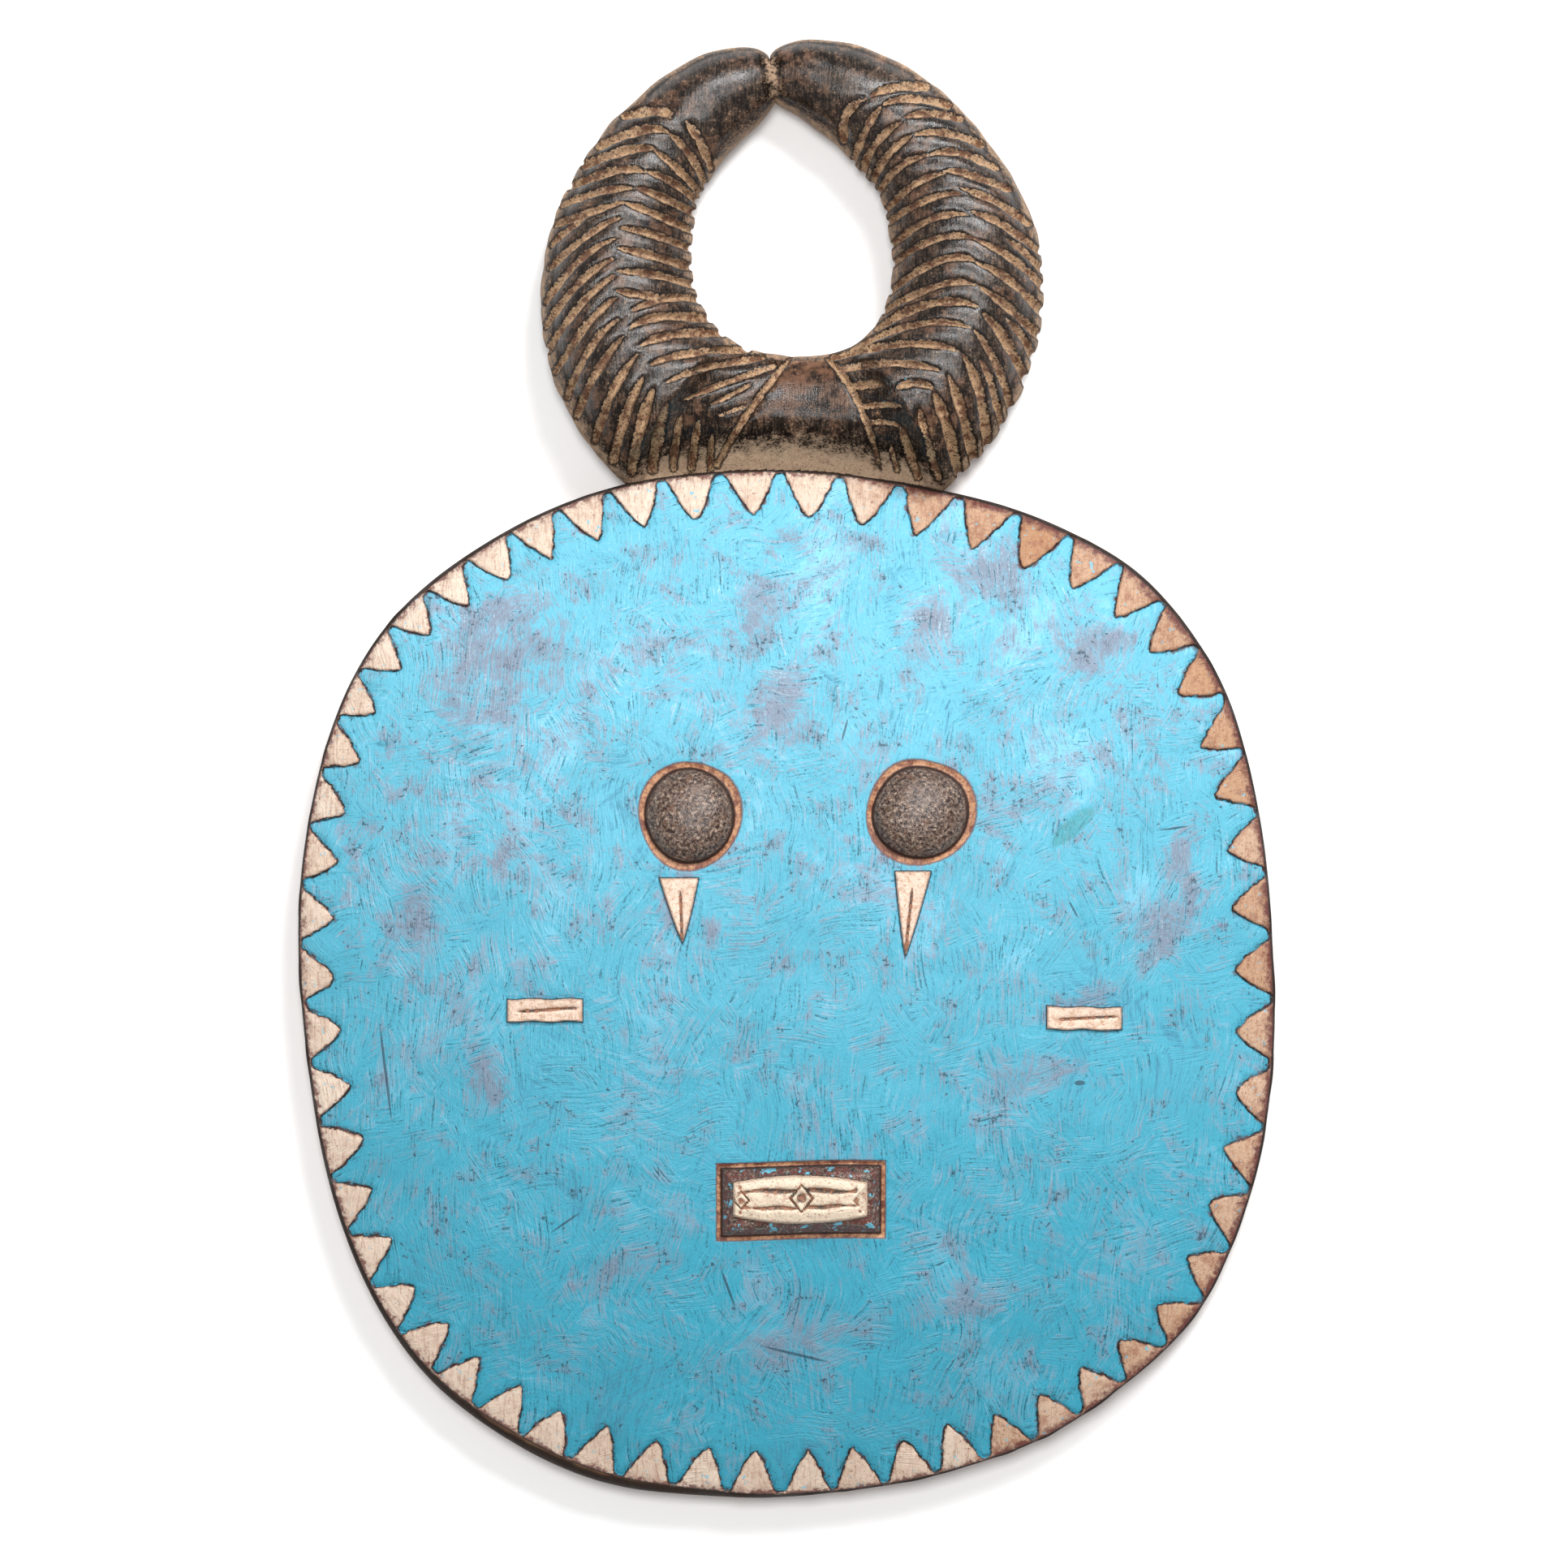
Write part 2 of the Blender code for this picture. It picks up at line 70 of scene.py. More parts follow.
# How far the knife strayed from that outline: degrees round the face, millimetres outwards
OUTLINE_STRAYS = (
    (0, 0.4), (14, 1.0), (26, 1.2), (34, 1.9), (42, 0.7), (50, -0.5), (58, -3.5), (66, -4.6), (72, -4.5),
    (78, -3.0), (84, -0.5), (91, 2.1), (99, 3.0), (108, 3.0), (116, 1.5), (124, 0.0), (140, 1.0), (156, -0.4),
    (178, 0.9), (195, -0.6), (212, -0.7), (228, 0.3), (236, -0.3), (251, 1.0), (260, 0.0), (268, 0.5),
    (280, -0.6), (290, -1.4), (300, -0.6), (308, -0.6), (322, 2.2), (332, 0.8), (346, 0.0), (360, 0.4),
)
CHORDS = 2880
# Width of the sloping edge outside the teeth: everywhere, and what is added where the rim leans out, as
# degrees round the face, their spread and the width there
RIM_FLARE = 0.0008
RIM_LEANS = ((52, 20, 0.0006), (128, 14, 0.0006), (215, 20, 0.0009), (246, 19, 0.0036))
RIM_COLUMNS = 912
# Every second point of the outline lies this much further in, so that no three in a row are on one line
KNIFE_STEP = 0.00002
# Share of a column by which the rim's points are turned
RIM_TURN = 0.37
# Rings down the side of the face: share of the sloping edge still outside each, and its drop from the rim
SIDE_RINGS = ((0.80, 0.0004), (0.35, 0.0018), (0.0, 0.0048), (0.10, 0.0110))
# Height over the ground of the lowest ring
SIDE_FOOT = 0.0008
# How far wear moves the upper rings in and out, and down to what drop from the rim
WEAR = 0.00025
WEAR_REACH = 0.0040
# How far inside the outline the flat back begins
BACK_CHAMFER = 0.0006
# Scoops of the gouge in the hollow, one beside the other
SCOOP_WIDTH = 0.014
SCOOP_LENGTH = 0.021
SCOOP_DEPTH = 0.0007
SEED = 41

# Border of teeth: where the first one is, and how the carver's even spacing drifts, in teeth
FIRST_TOOTH = 0.46
TOOTH_DRIFT = ((1, -0.18, 0.36), (2, -0.10, 0.22), (3, 0.09, -0.01), (4, 0.07, 0.11))
# By how much the teeth are shallower at two opposite sides of the face and deeper half way between them, and
# how far those sides are turned clockwise from its right
TOOTH_DEPTH_SWING = 0.0025
TOOTH_DEPTH_SWING_TURN = radians(15.0)
# How far inside the front's edge the feet of the teeth are
TOOTH_FOOT = 0.0008
# How much of the way to the gap beside it a tooth takes up
TOOTH_BASE = 0.84
# Power of the curved part of a tooth's side, and how softly its foot meets the gap
TOOTH_FULLNESS = 1.9
GAP_ROUNDING = 0.004
# Lines of points beside the teeth's edge, by their distance inside it, and their spacing
TOOTH_LINES = (-0.0011, -0.0004, 0.0001, 0.0006, 0.0014)
LINE_STEP = 0.0015
# Degrees round the face between which the teeth are dyed tan and not cream
TAN_TEETH = (-68.0, 78.0)

# Features by their place from the middle of the face, in metres. Eye: x, y, half width, half height
EYES = ((-0.0398, 0.0699, 0.0175, 0.0188), (0.0536, 0.0711, 0.0189, 0.0183))
# Wedge: x and y of its top, x and y of its tip, width
WEDGES = ((-0.0440, 0.0448, -0.0425, 0.0183, 0.0163), (0.0506, 0.0475, 0.0474, 0.0128, 0.0150))
# Cheek bar: x, y, degrees it leans
BARS = ((-0.0984, -0.0090, 0.6), (0.1203, -0.0125, -1.5))
MOUTH = (0.0053, -0.0860)
LIPS_RISE = 0.0010
# Diamonds between the lips, from the middle of the lips: x, y, half width, half height
DIAMONDS = ((0.0005, 0.0006, 0.0048, 0.0060), (-0.0238, -0.0002, 0.0034, 0.0038))
# Holes pricked in the lips: x, y, radius, share of the full depth
LIP_HOLES = (
    (0.0005, 0.0008, 0.0019, 1.0), (-0.0240, -0.0004, 0.0013, 1.0), (-0.0243, 0.0050, 0.0009, 0.8),
    (-0.0243, -0.0052, 0.0009, 0.8), (0.0242, -0.0048, 0.0009, 0.8), (0.0225, 0.0046, 0.0009, 0.8),
)
# Length of each lens that a slit of the lips widens and narrows by
LENS_LENGTH = 0.0195
# Distance inside a wedge or a bar that stands for places far from all of them
FAR_OUT = -0.0060
# Grooves in wedges and bars, and depth of the line round each of them
GROOVE_WIDTH = 0.0007
PAD_LINE = 0.0004
# Fine grids of points over wedges, bars and the mouth: their steps, and how far they reach past the edges
FINE_STEP = 0.0006
PAD_MARGIN = 0.0015
MOUTH_STEP = 0.00062
MOUTH_MARGIN = 0.004
# Rings of points in an eye, points on each, and rings round it by the share of its bare groove crossed
EYE_RINGS = 16
EYE_SIDES = 72
GROOVE_RINGS = (0.35, 0.75, 1.15, 1.6)
# How far round an eye the plain lattice of points stays away
EYE_CLEARANCE = 0.0062

# Horns: a ring round a point above the face's top edge
RING_ABOVE_FACE = 0.0936
RING_SIDE_SHIFT = 0.0020
RING_ROOT = 0.0055
NECK_ANGLE = 97.0
TIP_ROUNDING = 12.0
# Degrees round the ring, and how far its inner and its outer edge are from the middle there
RING_OUTLINE = (
    (97, 0.0604, 0.0838), (105, 0.0530, 0.0850), (115, 0.0494, 0.0868), (130, 0.0458, 0.0876),
    (150, 0.0434, 0.0910), (180, 0.0411, 0.1010), (210, 0.0443, 0.1128), (235, 0.0457, 0.1190),
    (270, 0.0451, 0.1240), (305, 0.0474, 0.1171), (330, 0.0448, 0.1108), (360, 0.0404, 0.1015),
    (390, 0.0411, 0.0905), (412, 0.0426, 0.0876), (427, 0.0462, 0.0868), (440, 0.0505, 0.0858),
    (457, 0.0604, 0.0838),
)
RAY_SAMPLES = 1200
HORN_ROOT_BLEND = 0.010
ROOT_ARCH_LOSS = 0.28
ROWS_A_CUT = 14
TIP_ROWS = 24
# Rows from the last left cut to the panel's first line, on to its second, and on to the first right cut
PANEL_ROWS = (16, 18, 12)
# Power by which a row bends from the ridge to the edges, and power of the flat back's section
ROW_BEND = 1.15
BACK_POWER = 0.5
LUMP = 0.00028
# Degrees by which a cut's outer end leads its ridge: everywhere, added half way down, lost at the root
OUTER_LEAD = (9, 8, 6)
# The same for its inner end: everywhere, added at the root, and at most this share of the way to the panel
INNER_LEAD = (5, 19, 0.8)
# Cuts of a horn at its ridge: degrees of the first and the last one, and how many rows of cuts there are
LEFT_CUTS = (133.5, 242.5, 19)
RIGHT_CUTS = (300.5, 423.5, 18)
# Lines beside the smooth panel: their degrees at the ridge, at the outer and at the inner edge
LEFT_PANEL_LINE = (256.0, 251.5, 268.0)
RIGHT_PANEL_LINE = (291.9, 291.5, 283.7)

# Chevron cuts in pixels of the photograph: from the ridge, over a middle point, to the edge, and width
LEFT_OUTER_CUTS = (
    (833, 146, 808, 136, 770, 143, 12), (823, 163, 790, 160, 738, 180, 10),
    (807, 183, 772, 185, 720, 203, 10), (795, 212, 757, 210, 700, 230, 9),
    (782, 232, 742, 235, 693, 253, 8), (769, 248, 728, 261, 685, 276, 8),
    (722, 268, 701, 282, 680, 303, 6), (765, 268, 730, 285, 677, 330, 7),
    (760, 293, 714, 320, 672, 373, 7), (757, 318, 714, 348, 672, 402, 8),
    (760, 338, 718, 372, 674, 432, 8), (760, 366, 725, 398, 684, 458, 8),
    (764, 392, 728, 427, 698, 490, 8), (768, 415, 737, 455, 710, 512, 9),
    (786, 435, 755, 482, 733, 543, 9), (793, 463, 770, 513, 756, 566, 11),
    (806, 478, 790, 522, 779, 580, 12), (824, 494, 813, 533, 804, 579, 11),
    (841, 511, 833, 543, 830, 578, 8), (862, 518, 856, 545, 852, 578, 8),
    (878, 535, 876, 555, 875, 578, 6), (975, 440, 930, 497, 883, 574, 7),
)
LEFT_INNER_CUTS = (
    (841, 147, 862, 172, 876, 208, 8), (824, 164, 850, 190, 868, 228, 8),
    (806, 185, 833, 206, 862, 238, 8), (797, 212, 828, 224, 864, 252, 8),
    (786, 232, 816, 243, 862, 266, 9), (770, 250, 806, 263, 860, 288, 8),
    (764, 280, 806, 289, 859, 309, 8), (761, 305, 802, 315, 858, 331, 9),
    (760, 334, 810, 339, 862, 354, 8), (759, 357, 784, 362, 812, 366, 8),
    (776, 384, 825, 367, 868, 372, 8), (774, 406, 815, 390, 882, 394, 9),
    (787, 427, 830, 412, 892, 410, 9), (800, 450, 845, 436, 922, 430, 8),
    (819, 472, 870, 453, 940, 441, 7), (841, 494, 893, 472, 954, 451, 6),
    (874, 500, 898, 488, 924, 474, 4), (880, 516, 898, 508, 919, 501, 3),
)
RIGHT_OUTER_CUTS = (
    (1072, 119, 1103, 107, 1142, 108, 9), (1088, 129, 1122, 121, 1168, 130, 8),
    (1114, 145, 1147, 139, 1184, 147, 8), (1128, 166, 1165, 163, 1210, 178, 8),
    (1145, 191, 1182, 188, 1228, 207, 8), (1165, 210, 1200, 216, 1243, 233, 8),
    (1183, 231, 1225, 247, 1268, 276, 8), (1196, 260, 1240, 279, 1282, 311, 8),
    (1240, 293, 1262, 310, 1287, 336, 7), (1202, 295, 1250, 320, 1287, 357, 8),
    (1203, 324, 1248, 348, 1289, 392, 9), (1205, 352, 1247, 382, 1284, 419, 9),
    (1241, 393, 1261, 416, 1278, 452, 8), (1211, 386, 1240, 420, 1269, 480, 11),
    (1201, 407, 1229, 452, 1248, 512, 8), (1207, 441, 1224, 481, 1236, 534, 7),
    (1186, 435, 1208, 486, 1216, 554, 10), (1168, 461, 1187, 512, 1201, 573, 11),
    (1150, 482, 1167, 525, 1182, 584, 12), (1133, 503, 1141, 540, 1156, 589, 8),
    (1108, 525, 1117, 552, 1131, 587, 9), (1097, 548, 1100, 563, 1106, 580, 4),
    (1018, 442, 1040, 465, 1057, 497, 8), (1057, 497, 1070, 532, 1081, 577, 8),
)
RIGHT_INNER_CUTS = (
    (1068, 121, 1043, 140, 1039, 174, 9), (1086, 131, 1067, 159, 1052, 200, 8),
    (1112, 149, 1079, 177, 1063, 217, 8), (1124, 166, 1092, 194, 1073, 231, 8),
    (1143, 191, 1108, 206, 1079, 242, 7), (1166, 213, 1128, 226, 1089, 263, 7),
    (1186, 238, 1142, 246, 1095, 274, 7), (1194, 264, 1146, 270, 1097, 304, 7),
    (1202, 294, 1153, 294, 1096, 328, 7), (1204, 322, 1157, 321, 1097, 360, 8),
    (1202, 351, 1157, 351, 1088, 384, 7), (1206, 378, 1150, 373, 1080, 404, 9),
    (1197, 404, 1130, 399, 1050, 430, 7), (1184, 434, 1118, 423, 1026, 441, 8),
    (1161, 458, 1105, 447, 1036, 455, 8), (1152, 479, 1130, 472, 1107, 476, 8),
    (1088, 476, 1072, 473, 1052, 475, 9), (1112, 501, 1090, 499, 1062, 501, 6),
    (1108, 526, 1090, 521, 1071, 522, 6),
)
CUT_PIECES = 8
# Over how many pixels beside a cut the wood falls off towards it
CUT_SHOULDER = 6

# Stage, in metres: floor, and each light's place, target and size
FLOOR_HALF = 4.0
FLOOR_LEVEL = -0.0002
KEY_LIGHT = ((0.75, 1.55, 1.9), (0.0, 0.05, 0.0), 0.7)
OVERHEAD_LIGHT = ((-0.10, 0.42, 2.6), (0.0, 0.0, 0.0), 0.6)
# Width of the camera's sensor, in millimetres
SENSOR = 36.0

# Numbers kept on the points for the painter, and the three materials in the order of the mesh's slots
FIELDS_OF_FACE = ("tooth", "inset", "boss", "cream", "lip", "furrow", "tone")
FIELDS_OF_HORNS = ("cut", "dust", "panel")
FINISHES = ("painted_wood", "bare_wood", "waxed_horn")


def srgb(red, green, blue):
    """Linear colour of a screen colour with parts from 0 to 255, by the sRGB curve."""
    parts = np.array((red, green, blue)) / 255
    linear = np.where(parts <= 0.04045, parts / 12.92, ((parts + 0.055) / 1.055) ** 2.4)
    return tuple(float(part) for part in linear)


def length(name, default, description, low=0.0001, high=1.0):
    """Property for a length in metres."""
    return bpy.props.FloatProperty(name=name, description=description, default=default, min=low, max=high,
                                   precision=4, unit="LENGTH", subtype="DISTANCE")


def paint(name, default, description):
    """Property for a colour."""
    return bpy.props.FloatVectorProperty(name=name, description=description, default=default, size=3,
                                         min=0.0, max=1.0, subtype="COLOR")


class MaskFaceSizes(bpy.types.PropertyGroup):
    """Sizes of the face and of what is carved on it."""
    half_width: length("Half width", 0.1995, "From the middle of the face to its side")
    half_height: length("Half height", 0.2097, "From the middle of the face to its top")
    turn: bpy.props.FloatProperty(name="Turn", description="How far the outline leans", default=radians(3.7),
                                  subtype="ANGLE", unit="ROTATION")
    rim_height: length("Rim height", 0.020, "Height of the rim over the ground")
    dome_rise: length("Dome rise", 0.038, "Height of the middle over the rim")
    dome_power: bpy.props.FloatProperty(name="Dome power", description="How late the dome falls off",
                                        default=2.3)
    wall: length("Wall", 0.013, "Thickness of the wood behind the face")
    land: length("Land", 0.010, "Flat band round the back")
    hollow_edge: length("Hollow edge", 0.0235, "From the outline to where the hollow is full depth")
    waviness: length("Waviness", 0.00035, "How uneven the knife left the front")
    mesh_step: length("Mesh step", 0.0031, "Distance between points on plain stretches of the front")
    back_step: length("Back step", 0.0050, "Distance between points in the hollow")
    teeth: bpy.props.IntProperty(name="Teeth", description="Teeth round the border", default=57, min=8)
    tooth_depth: length("Tooth depth", 0.0165, "From a tooth's foot to its tip")
    tooth_relief: length("Tooth relief", 0.0012, "How far a tooth stands out")
    eye_height: length("Eye height", 0.0090, "How far an eye stands out")
    eye_ring: length("Eye ring", 0.0030, "Width of the bare groove round an eye")
    wedge_height: length("Wedge height", 0.0020, "How far wedges and bars stand out")
    bar_length: length("Bar length", 0.0310, "Length of a cheek bar")
    bar_width: length("Bar width", 0.0094, "Width of a cheek bar")
    mouth_length: length("Mouth length", 0.0640, "Length of the block of the mouth")
    mouth_width: length("Mouth width", 0.0273, "Width of the block of the mouth")
    mouth_height: length("Mouth height", 0.0058, "How far the block of the mouth stands out")
    mouth_groove: length("Mouth groove", 0.0021, "Width of the bare groove round the mouth")
    lip_length: length("Lip length", 0.0545, "Length of the lips")
    lip_width: length("Lip width", 0.0192, "Width of the lips")
    lip_height: length("Lip height", 0.0020, "How far the lips stand out of the block")
    groove: length("Groove", 0.0009, "Depth of the small grooves")


class MaskHornSizes(bpy.types.PropertyGroup):
    """Sizes of the ring of horns."""
    neck_outer: length("Neck outside", 0.0776, "Outer edge of the ring where the two tips meet")
    neck_arch: length("Neck arch", 0.0140, "Rise of the front where the two tips meet")
    back: length("Back", 0.0040, "Height of the flat back over the ground")
    edge: length("Edge", 0.0160, "Height of the widest line of the section")
    arch: bpy.props.FloatProperty(name="Arch", description="Rise of the front as a share of half the width",
                                  default=1.05)
    roundness: bpy.props.FloatProperty(name="Roundness", description="Power of the front's curve",
                                       default=2.2)
    cut_depth: length("Cut depth", 0.0025, "Depth of a chevron cut of common width")
    rounding: length("Rounding", 0.0006, "How far the wood falls off towards the edge of a cut")
    front_columns: bpy.props.IntProperty(name="Front columns", description="Points across the front",
                                         default=60)
    back_columns: bpy.props.IntProperty(name="Back columns", description="Points across the back",
                                        default=14)


class MaskPaints(bpy.types.PropertyGroup):
    """Colours of the paint, the dye, the wax and the bare wood."""
    blue: paint("Blue", srgb(102, 186, 210), "Body colour of the face")
    pale_blue: paint("Pale blue", srgb(134, 202, 228), "Dry strokes of pale paint")
    # Painted highlight: pale colour put on the crests of the brush marks
    lit_crests: paint("Dry strokes", srgb(176, 222, 238), "Crests of the brush marks")
    shade_blue: paint("Shade blue", srgb(66, 140, 168), "Thin strokes of deeper paint")
    # Darker blue low on the face: partly deeper paint, partly painted shade
    deep_blue_and_shade: paint("Deep blue", srgb(54, 156, 181), "Deeper paint, low on the face")
    ground: paint("Ground", srgb(132, 136, 156), "Grey undercoat where the blue has worn")
    rust: paint("Rust", srgb(124, 112, 128), "Reddest of the worn patches")
    crack_and_hollow_shade: paint("Crack", srgb(38, 70, 88), "Dark specks and grain cracks in the blue")
    # Also painted shade, in the hollows between the brush marks
    teal: paint("Teal", srgb(60, 146, 152), "Smear of another paint")
    cream: paint("Cream", srgb(226, 208, 190), "Cream teeth")
    tan: paint("Tan", srgb(176, 130, 92), "Tan teeth")
    pad: paint("Pad", srgb(228, 202, 182), "Wedges and bars")
    lip: paint("Lip", srgb(228, 212, 188), "Lips")
    wine: paint("Wine", srgb(98, 48, 42), "Dirt at the rim and lines round the eyes")
    outline: paint("Outline", srgb(44, 28, 24), "Line round each tooth and pad")
    # Painted shade: near-black on the rim's front edge and the upper part of the side
    edge: paint("Edge", srgb(22, 16, 14), "Side of the face, black with handling")
    ring: paint("Ring", srgb(194, 144, 108), "Red bare wood round the eyes and the mouth")
    bare: paint("Bare groove", srgb(150, 100, 74), "Bare wood in grooves and stains")
    boss: paint("Boss", srgb(116, 98, 86), "Eyes and the block of the mouth")
    wax: paint("Wax", srgb(84, 68, 57), "Waxed horns")
    # Also painted shade, in black lines along the edges of the cuts
    black_wax_and_shade: paint("Black wax", srgb(24, 18, 15), "Darkest wax, in the grain and beside the cuts")
    red_wax: paint("Red wax", srgb(112, 78, 58), "Warm patches of the horns")
    cut: paint("Cut", srgb(178, 146, 114), "Floor of the chevron cuts")
    dust: paint("Dust", srgb(204, 174, 146), "Dust where horns and face meet")
    raw: paint("Raw wood", srgb(150, 118, 86), "Back of the mask")


class MaskStageSettings(bpy.types.PropertyGroup):
    """Camera, floor and lights."""
    distance: length("Camera distance", CAMERA_DISTANCE, "From the camera to the rim", high=20.0)
    floor: paint("Floor", (0.90, 0.90, 0.90), "Colour of the floor")
    glow: bpy.props.FloatProperty(name="Glow", description="Light of the floor itself, as on a light table",
                                  default=0.10)
    key: bpy.props.FloatProperty(name="Key", description="Power of the light beyond the top of the face",
                                 default=54.0, unit="POWER")
    overhead: bpy.props.FloatProperty(name="Overhead", description="Power of the light over the camera",
                                      default=40.0, unit="POWER")
    sky: bpy.props.FloatProperty(name="Sky", description="Strength of the even light from all round",
                                 default=0.35)


def photo_place(x, y):
    """Place on the rim's plane under a pixel of the photograph."""
    return (x - PHOTO_ORIGIN[0]) * PIXEL, (PHOTO_ORIGIN[1] - y) * PIXEL


def smooth_curve(knots, values, at):
    """Cubic curve through the knots, whose slope at each one is the mean of the slopes beside it."""
    slopes = np.gradient(values, knots)
    i = np.clip(np.searchsorted(knots, at, side="right") - 1, 0, len(knots) - 2)
    step = knots[i + 1] - knots[i]
    t = np.clip((at - knots[i]) / step, 0, 1)
    start = (1 + 2 * t) * (1 - t) ** 2 * values[i] + t * (1 - t) ** 2 * step * slopes[i]
    end = t ** 2 * (3 - 2 * t) * values[i + 1] + t ** 2 * (t - 1) * step * slopes[i + 1]
    return start + end


def soft_step(value, low, high):
    """0 below low, 1 above high, and a smooth S between them: 3t² − 2t³."""
    t = np.clip((value - low) / (high - low), 0, 1)
    return t * t * (3 - 2 * t)


def bump(value, middle, width):
    """Bell round a middle: e to the minus square of the distance in widths."""
    return np.exp(-((value - middle) / width) ** 2)


def waves(x, y, rng, count, shortest, longest):
    """Sum of sine waves of random heading, phase and length, scaled to about -1 to 1."""
    total = np.zeros_like(x)
    for _ in range(count):
        heading, phase = rng.uniform(0, 2 * pi, 2)
        number = 2 * pi / rng.uniform(shortest, longest)
        total += np.sin(number * (x * cos(heading) + y * sin(heading)) + phase)
    return total / count ** 0.5


def plain_reach(face, angle):
    """Distance from the face's middle to its drawn edge: a turned superellipse, one power a quarter."""
    turned = angle - face.turn
    power = np.choose((np.floor(turned / (pi / 2)) % 4).astype(int), FACE_CORNERS)
    across = np.abs(np.cos(turned)) / face.half_width
    along = np.abs(np.sin(turned)) / face.half_height
    return (across ** power + along ** power) ** (-1 / power)


def outline_reach(face, angle):
    """Distance from the face's middle to its carved edge: the drawn one and its small strays."""
    knots, strays = (np.array(column, dtype=float) for column in zip(*OUTLINE_STRAYS))
    return plain_reach(face, angle) + MM * smooth_curve(knots, strays, np.degrees(angle) % 360)


def rim_flare(angle):
    """Width of the sloping edge outside the teeth at each angle round the face."""
    degrees = np.degrees(angle) % 360
    return RIM_FLARE + sum(width * bump(degrees, middle, spread) for middle, spread, width in RIM_LEANS)


def rim_table(face):
    """Angles round the face and the length of its edge up to each, from summed chords."""
    angle = np.linspace(0, 2 * pi, CHORDS + 1)
    reach = outline_reach(face, angle)
    steps = np.hypot(np.diff(reach * np.cos(angle)), np.diff(reach * np.sin(angle)))
    return angle, np.concatenate(([0.0], np.cumsum(steps)))


def face_middle(face):
    """Place of the face's middle in the frame, whose box the face fills at its left, right and bottom."""
    angle = np.linspace(0, 2 * pi, CHORDS + 1)
    x, y = plain_reach(face, angle) * np.cos(angle), plain_reach(face, angle) * np.sin(angle)
    return (MASK_LOW.x + MASK_HIGH.x) / 2 - (x.max() + x.min()) / 2, MASK_LOW.y - y.min()


class Border:
    """Teeth round the edge of the face, with each tooth's own tip, depth and fullness."""

    def __init__(self, face):
        """Tip, size, fullness and shade of each tooth, by seeded draws round the carver's drifting spacing."""
        self.face = face
        self.angle, self.length = rim_table(face)
        rng = np.random.default_rng(SEED)
        number = np.arange(-1, face.teeth + 1)
        turn = 2 * pi * number / face.teeth
        drift = sum(a * np.cos(w * turn) + b * np.sin(w * turn) for w, a, b in TOOTH_DRIFT)
        tip = (number + FIRST_TOOTH + drift) / face.teeth
        self.gap = (tip[1:] + tip[:-1]) / 2
        half = np.diff(self.gap) / 2
        self.tip = tip[1:-1] + half * rng.normal(0, 0.07, face.teeth)
        self.scale = 1 + rng.normal(0, 0.05, face.teeth)
        self.point = np.clip(rng.normal(0.40, 0.12, face.teeth), 0.15, 0.7)
        self.shade = rng.uniform(0, 1, face.teeth)

    def share_of(self, angle):
        """Share of the perimeter at each angle round the face."""
        return np.interp(angle % (2 * pi), self.angle, self.length / self.length[-1])

    def tooth_of(self, share):
        """Number of the tooth at each share of the perimeter, and that share in the border's own range."""
        own = self.gap[0] + (share - self.gap[0]) % 1.0
        return np.clip(np.searchsorted(self.gap, own, side="right") - 1, 0, self.face.teeth - 1), own

    def inset(self, share):
        """Inset of the teeth's edge: it falls from a tip as 1 − c·a − (1 − c)·a^1.9, rounded in the gap."""
        k, own = self.tooth_of(share)
        side = np.where(own < self.tip[k], self.gap[k], self.gap[k + 1])
        a = np.abs((own - self.tip[k]) / (side - self.tip[k])) / TOOTH_BASE
        rise = 1 - (self.point[k] * a + (1 - self.point[k]) * a ** TOOTH_FULLNESS)
        rise = (rise + np.sqrt(rise ** 2 + GAP_ROUNDING)) / 2
        angle = np.interp(share % 1.0, self.length / self.length[-1], self.angle)
        swing = TOOTH_DEPTH_SWING * np.cos(2 * (angle + TOOTH_DEPTH_SWING_TURN))
        return TOOTH_FOOT + rise * (self.face.tooth_depth - swing) * self.scale[k]

    def distance(self, x, y):
        """Distance inside the nearest tooth's edge, and inset from the front's edge, negative outside."""
        angle = np.arctan2(y, x) % (2 * pi)
        inset = outline_reach(self.face, angle) - rim_flare(angle) - np.hypot(x, y)
        share = self.share_of(angle)
        step = 0.0004
        rise = self.inset(share)
        slope = (self.inset(share + step) - self.inset(share - step)) / (2 * step * self.length[-1])
        return (rise - inset) / np.sqrt(1 + slope ** 2), inset

    def edge_lines(self, offsets, spacing):
        """Places on lines beside the teeth's edge, evenly spaced, one line for each offset inside it."""
        share = np.linspace(0, 1, CHORDS * 4, endpoint=False)
        inset = self.inset(share)
        run = np.hypot(1 / (CHORDS * 4) * self.length[-1], np.diff(inset, append=inset[:1]))
        walked = np.cumsum(run)
        slope = np.gradient(inset) * CHORDS * 4 / self.length[-1]
        stops = np.arange(0, walked[-1], spacing)
        lines = []
        for offset in offsets:
            s, e, m = (np.interp(stops, walked, column) for column in (share, inset, slope))
            lines.append(self.place(s + offset * m / np.sqrt(1 + m ** 2) / self.length[-1],
                                    e - offset / np.sqrt(1 + m ** 2)))
        return np.concatenate(lines)

    def place(self, share, inset, flares=1.0):
        """Point at a share of the perimeter, inset from the outline less a share of the sloping edge."""
        angle = np.interp(share % 1.0, self.length / self.length[-1], self.angle)
        reach = outline_reach(self.face, angle) - flares * rim_flare(angle) - inset
        return np.stack((reach * np.cos(angle), reach * np.sin(angle)), axis=-1)


